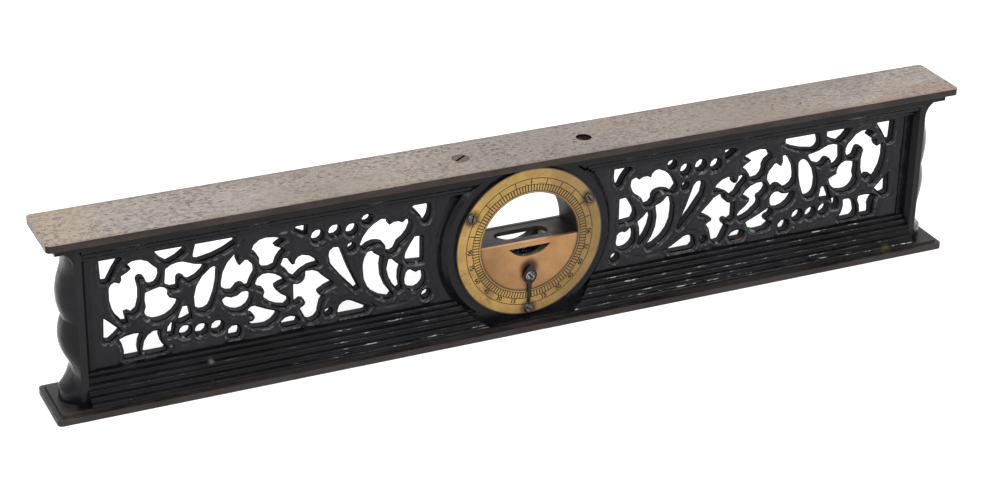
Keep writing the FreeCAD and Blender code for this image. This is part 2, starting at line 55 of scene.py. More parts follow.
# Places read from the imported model, in millimetres
CASTING_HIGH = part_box("frame_casting")[1]
RING_LOW, RING_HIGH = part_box("front_dial_ring")
PLUG_LOW, PLUG_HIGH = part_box("cap_plug_screw")
HEIGHT = CASTING_HIGH.z / MM
HALF_WIDTH = CASTING_HIGH.y / MM
RING_FACE = -RING_LOW.y / MM
RING_RADIUS = (RING_HIGH.x - RING_LOW.x) / 2 / MM
DIAL_MIDDLE = (RING_LOW.z + RING_HIGH.z) / 2 / MM
PLUG_MIDDLE = (PLUG_LOW.x + PLUG_HIGH.x) / 2 / MM

# Measures of the casting and the dial, in millimetres
HALF_WEB = 1.7
HALF_WALL = 10.0
WALL_OUTSIDE = 215.3
BORDER_INSIDE = 207.6
BORDER_OUT = 4.5
FOOT_PLATE = 3.0
FOOT_TOP = 4.2
BLOCK_BOTTOM = 80.1
SPOT_FACE_RADIUS = 44.0
RING_SCREW_RADIUS = 34.5
RING_SCREW_ANGLES = (270, 30, 150)
RING_SCREW_TOP = 11.4

# Camera fitted to the photograph: azimuth, elevation and roll in degrees, lengths in millimetres
CAMERA_ANGLES = (-25.29, 26.45, 1.22)
CAMERA_TARGET = (-10.47, 0, 36.81)
CAMERA_DISTANCE = 1135.48
CAMERA_LENS = 87.38

# Lamps: name, place and aim in metres, size in metres, watts
LIGHTS = (("key", (-0.9, -1.1, 1.5), (0, 0, 0.04), 1.0, 20),
          ("front", (0.5, -1.7, 0.7), (0, 0, 0.04), 1.2, 8),
          ("back", (0.4, 1.3, 1.4), (0, 0, 0.04), 1.0, 10),
          ("edge", (0.74, -0.95, 1.04), (0.05, 0, 0.02), 0.20, 4))
WHITE = (1, 1, 1, 1)
TABLE_GREY = (0.8, 0.8, 0.8, 1)
FILL_STRENGTH = 0.5
FLOOR_GLOW = 0.5


# Node trees

class Tree:
    """Node tree whose nodes are added one by one."""

    def __init__(self, tree):
        self.tree = tree

    def feed(self, socket, value):
        """Link a socket to another, or set it to a constant."""
        if hasattr(value, "is_output"):
            self.tree.links.new(value, socket)
        else:
            socket.default_value = value

    def add(self, kind, inputs=None, **settings):
        """Outputs of a new node that has these settings and inputs."""
        node = self.tree.nodes.new(kind)
        for title, value in settings.items():
            setattr(node, title, value)
        for key, value in (inputs or {}).items():
            self.feed(node.inputs[key], value)
        return node.outputs

    def math(self, operation, first, second=0.0):
        """Number from one or two others."""
        return self.add("ShaderNodeMath", {0: first, 1: second}, operation=operation)[0]

    def join(self, operation, shares):
        """One number from several, taken two by two."""
        result = shares[0]
        for share in shares[1:]:
            result = self.math(operation, result, share)
        return result


def cleared_tree(owner):
    """Empty node tree of a world or a material."""
    owner.use_nodes = True
    owner.node_tree.nodes.clear()
    return Tree(owner.node_tree)


# Camera, lights and floor

def set_camera():
    """Camera at the photograph's viewing angle, with its lens and slight roll."""
    azimuth, elevation, roll = (math.radians(angle) for angle in CAMERA_ANGLES)
    back = Vector((math.sin(azimuth) * math.cos(elevation),
                   -math.cos(azimuth) * math.cos(elevation), math.sin(elevation)))
    right = (-back).cross(Vector((0, 0, 1))).normalized()
    up = right.cross(-back)
    turned_right = right * math.cos(roll) + up * math.sin(roll)
    turned_up = up * math.cos(roll) - right * math.sin(roll)
    place = Matrix((turned_right, turned_up, back)).transposed().to_4x4()
    place.translation = Vector(CAMERA_TARGET) * MM + back * CAMERA_DISTANCE * MM
    data = bpy.data.cameras.new("camera")
    data.sensor_width = 36
    data.lens = CAMERA_LENS
    data.clip_start = 0.01
    camera = bpy.data.objects.new("camera", data)
    bpy.context.scene.collection.objects.link(camera)
    camera.matrix_world = place
    bpy.context.scene.camera = camera


def add_light(name, place, aim, size, watts):
    """Soft square lamp that faces a point."""
    data = bpy.data.lights.new(name, "AREA")
    data.shape = "SQUARE"
    data.size = size
    data.energy = watts
    lamp = bpy.data.objects.new(name, data)
    bpy.context.scene.collection.objects.link(lamp)
    direction = Vector(aim) - Vector(place)
    lamp.rotation_euler = direction.to_track_quat("-Z", "Y").to_euler()
    lamp.location = place


def seen_or_other(tree, seen, other):
    """Shader for rays of the camera, of reflections and through glass, and one for the rest."""
    path = tree.add("ShaderNodeLightPath")
    share = tree.join("MAXIMUM", [path[f"Is {kind} Ray"]
                                  for kind in ("Camera", "Glossy", "Transmission")])
    return tree.add("ShaderNodeMixShader", {0: share, 1: other, 2: seen})[0]


def set_world(fill_strength):
    """White backdrop where it is seen or mirrored, plain grey light for the rest."""
    world = bpy.data.worlds.new("studio")
    bpy.context.scene.world = world
    tree = cleared_tree(world)
    seen, fill = (tree.add("ShaderNodeBackground", {"Color": WHITE, "Strength": strength})[0]
                  for strength in (1.0, fill_strength))
    tree.add("ShaderNodeOutputWorld", {"Surface": seen_or_other(tree, seen, fill)})


def make_floor(glow_strength):
    """White table that keeps a faint shadow of the object."""
    mesh = bpy.data.meshes.new("floor")
    reach = 6.0
    mesh.from_pydata([(-reach, -reach, 0), (reach, -reach, 0), (reach, reach, 0),
                      (-reach, reach, 0)], [], [(0, 1, 2, 3)])
    floor = bpy.data.objects.new("floor", mesh)
    bpy.context.scene.collection.objects.link(floor)
    material = bpy.data.materials.new("white table")
    tree = cleared_tree(material)
    shaded = tree.add("ShaderNodeBsdfDiffuse", {"Color": TABLE_GREY})[0]
    glow = tree.add("ShaderNodeEmission", {"Color": WHITE, "Strength": glow_strength})[0]
    glowing = tree.add("ShaderNodeAddShader", {0: shaded, 1: glow})[0]
    tree.add("ShaderNodeOutputMaterial", {"Surface": seen_or_other(tree, glowing, shaded)})
    mesh.materials.append(material)


# Node helpers for the finishes

class Finish(Tree):
    """Material whose nodes are added one by one on Object coordinates."""

    def __init__(self, name):
        self.material = bpy.data.materials.new(name)
        self.material.use_nodes = True
        super().__init__(self.material.node_tree)
        self.shader = self.tree.nodes["Principled BSDF"]
        self.place = self.add("ShaderNodeTexCoord")["Object"]
        self.split = self.add("ShaderNodeSeparateXYZ", {0: self.place})
        normal = self.add("ShaderNodeNewGeometry")["True Normal"]
        self.facing = self.add("ShaderNodeSeparateXYZ", {0: normal})

    def both(self, *shares):
        """Product of several shares."""
        return self.join("MULTIPLY", shares)

    def most(self, *shares):
        """Highest of several shares."""
        return self.join("MAXIMUM", shares)

    def between(self, share, first, second):
        """Number that goes from first to second as share goes from 0 to 1."""
        rest = self.math("SUBTRACT", 1.0, share)
        return self.math("ADD", self.both(first, rest), self.both(share, second))

    def moved(self, stretch, shift):
        """Object coordinates, scaled and shifted."""
        return self.add("ShaderNodeMapping", {"Vector": self.place, "Scale": stretch,
                                              "Location": shift})[0]

    def noise(self, scale, detail=3.0, roughness=0.5, stretch=(1, 1, 1), shift=(0, 0, 0)):
        """Cloudy noise with scale in blobs per metre."""
        return self.add("ShaderNodeTexNoise", {
            "Vector": self.moved(stretch, shift), "Scale": scale, "Detail": detail,
            "Roughness": roughness})["Fac"]

    def spots(self, scale, size, edge, stretch=(1, 1, 1), shift=(0, 0, 0)):
        """Round spots, 1 inside and 0 outside, with scale in cells per metre."""
        cells = self.add("ShaderNodeTexVoronoi", {"Vector": self.moved(stretch, shift),
                                                  "Scale": scale})
        return self.ramp(cells["Distance"], size, size + edge, 1.0, 0.0)

    def ramp(self, value, low, high, start=0.0, end=1.0):
        """Value from low to high spread over start to end, held beyond."""
        return self.add("ShaderNodeMapRange", {
            "Value": value, "From Min": low, "From Max": high, "To Min": start,
            "To Max": end}, interpolation_type="SMOOTHSTEP")["Result"]

    def zone(self, length, low, high, start=0.0, end=1.0):
        """Ramp of a length, with its limits in millimetres."""
        return self.ramp(length, low * MM, high * MM, start, end)

    def cloudy(self, settings, low, high, start=0.0, end=1.0):
        """Ramp of a noise that has these settings."""
        return self.ramp(self.noise(*settings), low, high, start, end)

    def blend(self, share, first, second):
        """Colour that goes from first to second, both sockets or tones, with the share."""
        node = self.tree.nodes.new("ShaderNodeMix")
        node.data_type = "RGBA"
        self.feed(node.inputs["Factor"], share)
        sockets = [socket for socket in node.inputs if socket.type == "RGBA"]
        for socket, colour in zip(sockets, (first, second)):
            if isinstance(colour, str):
                colour = TONES[colour]
            self.feed(socket, (*colour, 1.0) if isinstance(colour, tuple) else colour)
        return next(socket for socket in node.outputs if socket.type == "RGBA")

    def layers(self, base, rows):
        """Base colour under several others, each given as a colour and its shares."""
        for colour, *shares in rows:
            base = self.blend(self.both(*shares), base, colour)
        return base

    def bump(self, height, distance, under=None):
        """Normal from a height of 0 to 1 that stands for distance in metres."""
        inputs = {"Height": height, "Distance": distance}
        if under is not None:
            inputs["Normal"] = under
        return self.add("ShaderNodeBump", inputs)["Normal"]

    def near(self, centre, radius, soft):
        """1 within radius of a point, fading to 0 over soft, all in millimetres."""
        offset = self.add("ShaderNodeVectorMath",
                          {0: self.place, 1: tuple(part * MM for part in centre)},
                          operation="DISTANCE")
        return self.zone(offset["Value"], radius, radius + soft, 1.0, 0.0)

    def reach(self, first, second):
        """Distance in metres from an axis, from the two offsets across it."""
        return self.math("SQRT", self.math("ADD", self.both(first, first),
                                           self.both(second, second)))

    def from_dial_axis(self):
        """Distance in metres from the drum's axis."""
        up = self.math("SUBTRACT", self.split["Z"], DIAL_MIDDLE * MM)
        return self.reach(self.split["X"], up)

    def attribute(self, name):
        """Number kept on the mesh's corners, 0 where the mesh has none."""
        return self.add("ShaderNodeAttribute", attribute_name=name)["Fac"]

    def set(self, **values):
        """Link or set inputs of the shader, with _ for each space in their names."""
        for name, value in values.items():
            self.feed(self.shader.inputs[name.replace("_", " ")], value)


def ring_screw_places(face):
    """Middles of the ring screws at a height from the middle plane, in millimetres."""
    turns = [math.radians(angle) for angle in RING_SCREW_ANGLES]
    return [(RING_SCREW_RADIUS * math.cos(turn), face,
             DIAL_MIDDLE + RING_SCREW_RADIUS * math.sin(turn)) for turn in turns]


# Finishes

# Tones as linear red, green and blue
TONES = {
    "japan": (0.0034, 0.0033, 0.0046), "cloudy japan": (0.0075, 0.0072, 0.0092),
    "drab japan": (0.0036, 0.0034, 0.0026), "painted scroll sheen": (0.0165, 0.0159, 0.0202),
    "lit shoulder": (0.150, 0.149, 0.152), "wall front": (0.014, 0.0130, 0.0145),
    "painted lit wall inside": (0.034, 0.033, 0.037), "painted rim shade": (0.0012, 0.0012, 0.0016),
    "painted glint line": (0.034, 0.034, 0.033), "painted glint fleck": (0.42, 0.42, 0.41),
    "painted blister glint": (0.26, 0.26, 0.255), "dark brown": (0.026, 0.019, 0.016),
    "pale brown": (0.054, 0.041, 0.036), "worn ledge": (0.042, 0.036, 0.034),
    "worn end": (0.034, 0.032, 0.031), "grey smear": (0.11, 0.11, 0.11),
    "oil": (0.060, 0.050, 0.022), "rust spot": (0.16, 0.065, 0.022),
    "hole wall": (0.105, 0.066, 0.046), "nick": (0.05, 0.042, 0.038),
    "cap": (0.350, 0.303, 0.257), "pale cap": (0.378, 0.340, 0.306),
    "cap middle": (0.185, 0.165, 0.155), "yellowed cap": (0.46, 0.33, 0.21),
    "rust cloud": (0.36, 0.235, 0.16), "mottle": (0.145, 0.118, 0.104),
    "streak": (0.22, 0.188, 0.178), "cap fleck": (0.58, 0.56, 0.54),
    "pit": (0.055, 0.044, 0.040), "cap edge": (0.19, 0.135, 0.105),
    "rusty right": (0.34, 0.21, 0.14), "dusky right": (0.20, 0.165, 0.150),
    "brown left": (0.23, 0.185, 0.155), "old wax": (0.045, 0.036, 0.032),
    "brass": (0.420, 0.270, 0.086), "dull brass": (0.320, 0.200, 0.066),
    "darker right brass": (0.165, 0.108, 0.052), "brass grain": (0.22, 0.13, 0.05),
    "grime": (0.12, 0.07, 0.03), "aged brass": (0.155, 0.098, 0.044),
    "brass stain": (0.075, 0.042, 0.026), "ring edge": (0.050, 0.043, 0.038),
    "warm brass": (0.400, 0.220, 0.094), "dull warm brass": (0.300, 0.160, 0.070),
    "plate grain": (0.22, 0.12, 0.05), "pointer stain": (0.06, 0.034, 0.024),
    "plate shade": (0.170, 0.092, 0.046), "painted drum hollow shade": (0.026, 0.018, 0.014),
    "plate rim": (0.10, 0.055, 0.035), "dark steel": (0.012, 0.010, 0.009),
    "pale dark steel": (0.040, 0.033, 0.029), "screw": (0.040, 0.034, 0.030),
    "pale screw": (0.135, 0.120, 0.108), "shiny screw": (0.36, 0.345, 0.34),
    "plug": (0.040, 0.028, 0.017), "painted slot shade": (0.010, 0.008, 0.007),
    "drum": (0.016, 0.0135, 0.012), "pale drum": (0.034, 0.028, 0.025),
    "painted vial reflection": (0.24, 0.22, 0.20), "drum shade": (0.008, 0.007, 0.0065),
    "wax": (0.014, 0.009, 0.006), "worn wax": (0.050, 0.030, 0.016),
    "painted opening shade": (0.019, 0.0185, 0.0215), "pale painted opening shade": (0.035, 0.034, 0.038),
    "painted_shade": (0.0035, 0.0035, 0.0042), "pale painted shade": (0.007, 0.0068, 0.008),
    "plaster": (0.30, 0.27, 0.23), "pale plaster": (0.48, 0.44, 0.38)}

# Marks on the casting: tone, middle, radius and soft edge in millimetres
MARKS = [("grey smear", (-156, -9.5, 14.0), 0.8, 1.6), ("oil", (196, -14.5, 4.2), 1.0, 3.0),
         ("rust spot", (117.5, -2.9, 20.8), 1.0, 1.6), ("hole wall", (31.3, 0, 83.0), 4.4, 0.8),
         ("nick", (-222, -15, 3.2), 1.2, 3.0)]


def japanned_iron(name, gloss):
    """Black japan over cast iron, brown where the rails' edges are rubbed, bare on the cap."""
    finish = Finish(name)
    ramp, zone, cloudy = finish.ramp, finish.zone, finish.cloudy
    along, across, up = (finish.split[axis] for axis in "XYZ")
    outward, endward = finish.math("ABSOLUTE", across), finish.math("ABSOLUTE", along)
    cloud = finish.noise(60, 4, 0.6)
    dashes = finish.noise(480, 4, 0.7, (0.22, 1, 1), (1, 9, 0))
    glint_edges = finish.both(finish.attribute("edge"), zone(along, -135, -60, 0.10, 1.0))
    brown = finish.blend(finish.noise(900, 3, 0.6), "dark brown", "pale brown")
    rubbed = finish.both(zone(outward, HALF_WIDTH - 0.9, HALF_WIDTH - 0.3),
                         cloudy((110, 4, 0.65, (0.35, 1, 1), (3, 0, 0)), 0.38, 0.62, 0.45, 1.0))
    ledge = zone(up, FOOT_TOP + 0.5, FOOT_TOP + 0.1)
    worn_ledge = finish.both(ledge, zone(outward, 12.6, 14.2), cloudy(
        (75, 4, 0.7, (0.3, 1, 1), (7, 1, 0)), 0.36, 0.60, 0.12, 0.75))
    worn_end = finish.both(ledge, zone(endward, 216.5, 219.5), ramp(cloud, 0.3, 0.6, 0.3, 0.8))
    body = finish.layers(finish.blend(ramp(cloud, 0.35, 0.7), "japan", "cloudy japan"), [
        # Low down the japan is a little browner and duller than under the cap
        ("drab japan", zone(up, 34, 16),
         cloudy((18, 3, 0.6, (1, 1, 1.6), (4, 0, 0)), 0.42, 0.66, 0.0, 0.7)),
        # Painted sheen: the scrollwork's faces, most on the right, and the boss cove are painted a
        # little lighter
        ("painted scroll sheen", finish.attribute("painted sheen")),
        # Their upper shoulders catch the light in short strokes
        ("lit shoulder", finish.attribute("crest"),
         cloudy((330, 3, 0.6, (1, 1, 1), (0, 2, 5)), 0.43, 0.59)),
        # End walls: paler in front, and the right one's inside face painted lighter, a painted
        # highlight where light falls on it
        ("wall front", zone(endward, 211.8, 212.4), zone(endward, 215.7, 215.3),
         zone(up, 9, 12), zone(up, 80, 79), 0.6),
        ("painted lit wall inside", zone(along, 211.8, 212.2), ramp(finish.facing["X"], -0.5, -0.9)),
        # Painted shade: the relief's rims round the openings and its furrows are painted darker
        # than the scrolls' faces
        ("painted rim shade", finish.attribute("rim"), 0.9),
        # Painted glints: proud edges of the foot moulding and the blisters' tops are painted light
        # in specks, least at the left end
        ("painted glint line", glint_edges, ramp(dashes, 0.42, 0.60, 0.0, 0.9)),
        ("painted glint fleck", glint_edges, ramp(dashes, 0.59, 0.66)),
        ("painted blister glint", finish.attribute("painted blister glint")),
        # The vertical edges of cap and foot are rubbed through to a dull brown
        (brown, rubbed),
        # So is the foot plate, most of all at its ends
        ("worn ledge", worn_ledge), ("worn end", worn_end),
        *((tone, finish.near(centre, radius, soft), cloudy((500, 3), 0.38, 0.6, 0.35, 1.0))
          for tone, centre, radius, soft in MARKS)])

    # The machined cap face: grey brown, mottled and pitted
    top = zone(up, HEIGHT - 0.25, HEIGHT - 0.05)
    wide = finish.noise(14, 4, 0.6, (0.5, 1, 1), (1.7, 0, 0))
    pits = finish.spots(430, 0.17, 0.12, (0.55, 1, 1), (0.3, 0.1, 0))
    deep = finish.spots(240, 0.070, 0.07, (0.6, 1, 1), (0.9, 0.4, 0))
    cluster = cloudy((34, 3, 0.6, (0.8, 1, 1), (5, 5, 0)), 0.44, 0.58)
    pitted = finish.most(finish.both(pits, cluster), deep)
    from_plug = finish.reach(finish.math("SUBTRACT", along, PLUG_MIDDLE * MM), across)
    steel = finish.layers(finish.blend(ramp(wide, 0.38, 0.64), "cap", "pale cap"), [
        ("cap middle", zone(along, -60, -15), zone(along, 110, 30), 0.42),
        ("yellowed cap", zone(along, -185, -222), ramp(wide, 0.3, 0.5), 0.5),
        ("rust cloud", cloudy((28, 5, 0.7, (0.6, 1, 1), (8.1, 2, 0)), 0.53, 0.70, 0.0, 0.6)),
        ("mottle", cloudy((620, 4, 0.75, (0.6, 1, 1)), 0.40, 0.57, 0.85, 0.0),
         cloudy((48, 4, 0.65, (0.6, 1, 1), (6, 2, 0)), 0.34, 0.60, 0.40, 1.0)),
        ("streak", cloudy((260, 4, 0.7, (0.35, 1, 1), (0, 3, 0)), 0.54, 0.70, 0.0, 0.5)),
        ("cap fleck", cloudy((1500, 3, 0.7), 0.56, 0.68, 0.0, 0.6)),
        ("pit", pitted, 0.85),
        ("cap edge", zone(outward, HALF_WIDTH - 2.6, HALF_WIDTH - 0.4, 0.0, 0.6),
         cloudy((90, 3, 0.6, (0.5, 1, 1), (2, 6, 0)), 0.35, 0.6, 0.35, 1.0)),
        ("rusty right", zone(along, 70, 130), zone(across, 4, -13, 0.15, 1.0),
         cloudy((55, 4, 0.7, (0.5, 1, 1), (1, 1, 4)), 0.45, 0.65), 0.55),
        ("dusky right", zone(along, 60, 110), ramp(wide, 0.60, 0.42), 0.38),
        ("brown left", zone(along, -60, -100), ramp(wide, 0.56, 0.44),
         zone(along, -190, -160), 0.35),
        # A dark line of old wax lies round the plug
        ("old wax", zone(from_plug, 4.35, 3.95), 0.8)])

    bare = finish.most(rubbed, worn_ledge, worn_end)
    rough = finish.between(bare, ramp(cloud, 0.3, 0.7, 0.14, 0.26), 0.6)
    cast = finish.bump(finish.noise(700, 4, 0.65), 0.00010)
    lumps = finish.bump(finish.noise(150, 3, 0.5), 0.0004, cast)
    finish.set(Base_Color=finish.blend(top, body, steel), Specular_IOR_Level=gloss,
               Roughness=finish.between(top, rough, 0.62),
               Normal=finish.bump(finish.both(pitted, top), -0.00012, lumps))
    return finish.material


def brass(name, tones, cloud, fine, polish, layers):
    """Old lacquered brass between two tones, under the layers that a function adds."""
    finish = Finish(name)
    cloud, fine = finish.noise(*cloud), finish.noise(*fine)
    base = finish.blend(finish.ramp(cloud, 0.35, 0.66), *tones)
    finish.set(Base_Color=finish.layers(base, layers(finish, fine)), Metallic=0.85,
               Roughness=finish.ramp(cloud, 0.3, 0.7, *polish),
               Normal=finish.bump(fine, 0.00003))
    return finish.material


def dial_layers(finish, fine):
    """Darker towards the right, brown stains round the screws and a dark line at each edge."""
    zone, cloudy, radius = finish.zone, finish.cloudy, finish.from_dial_axis()
    stains = finish.most(*(finish.near(centre, 2.5, 3.0) for side in (-1, 1)
                           for centre in ring_screw_places(side * RING_FACE)))
    edges = finish.most(zone(radius, RING_RADIUS - 0.75, RING_RADIUS - 0.25),
                        finish.both(zone(radius, 25.7, 25.2), 0.7))
    return [("darker right brass", zone(finish.split["X"], -12, 34, 0.0, 0.72),
             cloudy((45, 3, 0.6, (1, 1, 1), (0, 4, 9)), 0.3, 0.7, 0.75, 1.0)),
            ("brass grain", finish.ramp(fine, 0.5, 0.75, 0.0, 0.35)),
            ("grime", finish.spots(420, 0.10, 0.12, (1, 1, 1), (0.2, 0, 0.7)), 0.5),
            ("aged brass", finish.near((-27, -10, 22), 6.0, 16.0),
             cloudy((110, 4, 0.65, (1, 1, 1), (3, 3, 3)), 0.42, 0.66), 0.75),
            ("brass stain", stains, cloudy((300, 3), 0.3, 0.6, 0.55, 1.0)),
            ("ring edge", edges, 0.92)]


def plate_layers(finish, fine):
    """Stain above the pointer, and painted shade inside the drum and on the rear plate's edges
    where they would show past the drum.
    """
    zone = finish.zone
    along, across, up = (finish.split[axis] for axis in "XYZ")
    low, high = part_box("pointer")
    behind = zone(across, 8.0, 8.4)
    lip = finish.both(behind, zone(up, 43.6, 43.9))
    within = finish.both(zone(finish.math("ABSOLUTE", across), 9.6, 9.0), zone(up, 43.9, 43.6))
    sideways = finish.math("ABSOLUTE", finish.facing["Y"])
    rims = finish.both(behind, finish.ramp(sideways, 0.6, 0.4))
    return [("plate grain", finish.ramp(fine, 0.55, 0.8, 0.0, 0.3)),
            ("pointer stain", finish.near((0, low.y / MM, high.z / MM - 1.8), 3.0, 3.4)),
            ("plate shade", zone(along, -4, -22, 0.0, 0.45)),
            # Painted shade inside the drum and on the rear plate's lip and edges
            ("painted drum hollow shade", finish.most(lip, within, rims)),
            ("plate rim", zone(finish.from_dial_axis(), 23.6, 24.7, 0.0, 0.55))]


def plain_metal(name, dark, light, rough, metallic=0.8, scale=300):
    """Worn steel or iron between two tones; the finish is returned for more layers."""
    finish = Finish(name)
    cloud = finish.noise(scale, 4, 0.6)
    fine = finish.noise(scale * 5, 3, 0.6)
    base = finish.blend(finish.ramp(cloud, 0.35, 0.65), dark, light)
    base = finish.blend(finish.ramp(fine, 0.55, 0.75, 0.0, 0.4), base,
                        tuple(0.4 * part for part in TONES[dark]))
    finish.set(Base_Color=base, Metallic=metallic,
               Roughness=finish.ramp(cloud, 0.3, 0.7, rough - 0.07, rough + 0.07),
               Normal=finish.bump(fine, 0.00004))
    return finish, base


def screw_steel():
    """Brown-grey screw steel, with painted shade in the slots; the plug is olive brown."""
    finish, base = plain_metal("screw steel", "screw", "pale screw", 0.34)
    outward, up = finish.math("ABSOLUTE", finish.split["Y"]), finish.split["Z"]
    low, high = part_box("pointer_screw")
    middle = (low.z + high.z) / 2 / MM
    pointer_head = (0, low.y / MM, middle)
    rear_head = (0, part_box("rear_plate_screw")[1].y / MM, middle)
    heads = [pointer_head, rear_head] + [place for side in (-1, 1) for place in
                                         ring_screw_places(side * RING_SCREW_TOP)]
    # Painted shade in each screw's slot, below the head's top
    painted_shade = [finish.both(finish.zone(outward, abs(head[1]) - 0.10, abs(head[1]) - 0.22),
                        finish.near(head, 2.0, 0.1)) for head in heads]
    plug = finish.zone(up, 80, 80.5)
    painted_shade.append(finish.both(plug, finish.zone(up, HEIGHT - 0.10, HEIGHT - 0.25)))
    finish.set(Base_Color=finish.layers(base, [
        ("shiny screw", finish.near(pointer_head, 2.6, 0.4), finish.cloudy((420, 3), 0.40, 0.56)),
        ("plug", plug), ("painted slot shade", finish.most(*painted_shade))]))
    return finish.material


def drum_iron():
    """Dark grey-brown iron, with a pale painted reflection of the vial's glass beside its window.
    """
    finish, base = plain_metal("drum iron", "drum", "pale drum", 0.50, 0.12, 120)
    finish.set(Specular_IOR_Level=0.20, Base_Color=finish.layers(base, [
        # A pale painted reflection of the vial's glass beside the window
        ("painted vial reflection", finish.near((12, -4, 44), 3.0, 6.0),
         finish.cloudy((260, 3), 0.4, 0.65), 0.35),
        ("drum shade", finish.zone(finish.split["X"], 13, 21, 0.0, 0.7))]))
    return finish.material


# Noise, roughness, shine and depth of the bumps of dull stuffs
PAINTED_SHADE_SETTINGS = ((300, 3, 0.6), 0.8, 0.10, 0.0001)
CHALKY = ((250, 4, 0.6), 0.9, 0.5, 0.0002)


def powder(name, dark, light, noise, rough, gloss, depth):
    """Dull dry stuff: plaster, or the dark sheets of painted shade in the openings and seams."""
    finish = Finish(name)
    cloud = finish.noise(*noise)
    finish.set(Base_Color=finish.blend(cloud, dark, light), Roughness=rough,
               Specular_IOR_Level=gloss, Normal=finish.bump(cloud, depth))
    return finish.material


def black_fill():
    """Dark wax in the engraved lines."""
    finish = Finish("engraving fill")
    worn = finish.cloudy((600, 3, 0.6), 0.45, 0.72)
    finish.set(Base_Color=finish.blend(worn, "wax", "worn wax"), Roughness=0.6,
               Specular_IOR_Level=0.2)
    return finish.material


def clear_glass():
    """Slightly smeared glass of the vial."""
    finish = Finish("vial glass")
    finish.set(Base_Color=(0.93, 0.96, 0.93, 1), IOR=1.5, Transmission_Weight=1.0,
               Roughness=finish.cloudy((90, 3, 0.6), 0.35, 0.7, 0.01, 0.10))
    return finish.material


# Mesh helpers

def add_piece(name, mesh, finish):
    """Finished mesh as a piece that rides on the frame."""
    mesh.name = name
    piece = bpy.data.objects.new(name, mesh)
    bpy.context.scene.collection.objects.link(piece)
    mesh.materials.clear()
    mesh.materials.append(finish)
    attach(piece, "frame")


def new_mesh(corners, faces, smooth=True):
    """Mesh from corners in millimetres, smooth-shaded or flat."""
    mesh = bpy.data.meshes.new("sheet")
    mesh.from_pydata([tuple(float(part) * MM for part in corner) for corner in corners], [],
                     [tuple(int(index) for index in face) for face in faces])
    mesh.polygons.foreach_set("use_smooth", np.full(len(mesh.polygons), smooth))
    return mesh


def keep_number(mesh, name, values):
    """Attribute on the mesh's corners that a finish reads."""
    layer = mesh.attributes.new(name, "FLOAT", "POINT")
    layer.data.foreach_set("value", np.asarray(values, np.float32))


def add_cast(name, mesh, numbers=None, finish="japanned_iron"):
    """Piece with a finish, the casting's japan unless another is given, and numbers for that
    finish.
    """
    for title, values in (numbers or {}).items():
        keep_number(mesh, title, values)
    add_piece(name, mesh, finishes[finish])


def grid_mesh(rows, facing):
    """Sheet through rows of equally many points, its faces turned towards facing."""
    rows = np.asarray(rows, float)
    count, width = rows.shape[:2]
    corners = rows.reshape(-1, 3)
    faces = [(start, start + 1, start + width + 1, start + width)
             for row in range(count - 1)
             for start in range(row * width, (row + 1) * width - 1)]
    a, b, c = (corners[faces[len(faces) // 2][index]] for index in (0, 1, 2))
    if np.dot(np.cross(b - a, c - a), facing) < 0:
        faces = [face[::-1] for face in faces]
    return new_mesh(corners, faces)


def panel_outlines(side):
    """Outlines of the openings on the front of one panel, as lists of (x, z) in mm."""
    mesh = nodes["frame_casting"].data.copy()
    work = bmesh.new()
    work.from_mesh(mesh)
    bmesh.ops.remove_doubles(work, verts=work.verts, dist=1e-6)
    bpy.data.meshes.remove(mesh)
    front = -HALF_WEB * MM
    links = {}
    for edge in work.edges:
        if len(edge.link_faces) != 2:
            continue
        flat = [face for face in edge.link_faces
                if face.normal.y < -0.99 and abs(face.calc_center_median().y - front) < 1e-5]
        if len(flat) != 1:
            continue
        ends = list(edge.verts)
        if any(abs(vert.co.y - front) > 1e-5 or vert.co.x * side < 0 for vert in ends):
            continue
        for one, other in (ends, ends[::-1]):
            links.setdefault(one.index, []).append(other.index)
    work.verts.ensure_lookup_table()
    loops = []
    left = set(links)
    while left:
        here = left.pop()
        loop = [here]
        while True:
            step = [index for index in links[here] if index in left]
            if not step:
                break
            here = step[0]
            left.discard(here)
            loop.append(here)
        loops.append([(work.verts[index].co.x / MM, work.verts[index].co.z / MM)
                      for index in loop])
    work.free()
    loops.sort(key=lambda loop: -(max(x for x, z in loop) - min(x for x, z in loop)))
    return loops[1:]


# Relief of the scroll casting

def edge_distance(points, loops):
    """Distance from each point to the nearest outline."""
    starts = np.array([point for loop in loops for point in loop])
    ends = np.array([point for loop in loops for point in loop[1:] + loop[:1]])
    run = ends - starts
    size = np.maximum((run ** 2).sum(1), 1e-12)
    best = np.full(len(points), 1000.0)
    for index in range(0, len(points), 2000):
        part = points[index:index + 2000, None, :] - starts[None]
        share = np.clip((part * run[None]).sum(2) / size[None], 0, 1)
        gap = part - share[..., None] * run[None]
        best[index:index + 2000] = np.sqrt((gap ** 2).sum(2)).min(1)
    return best


def inside(points, loop):
    """True for the points inside an outline."""
    result = np.zeros(len(points), bool)
    x, z = points[:, 0], points[:, 1]
    for (x0, z0), (x1, z1) in zip(loop, loop[1:] + loop[:1]):
        crosses = (z0 > z) != (z1 > z)
        with np.errstate(divide="ignore", invalid="ignore"):
            at = x0 + (z - z0) * (x1 - x0) / (z1 - z0)
        result ^= crosses & (x < at)
    return result


def cut_up(loop, pitch):
    """Outline with more points on it, at most a pitch apart."""
    dense = []
    for (x0, z0), (x1, z1) in zip(loop, loop[1:] + loop[:1]):
        cuts = max(1, math.ceil(math.hypot(x1 - x0, z1 - z0) / pitch - 1e-6))
        dense += [(x0 + (x1 - x0) * cut / cuts, z0 + (z1 - z0) * cut / cuts)
                  for cut in range(cuts)]
    return dense


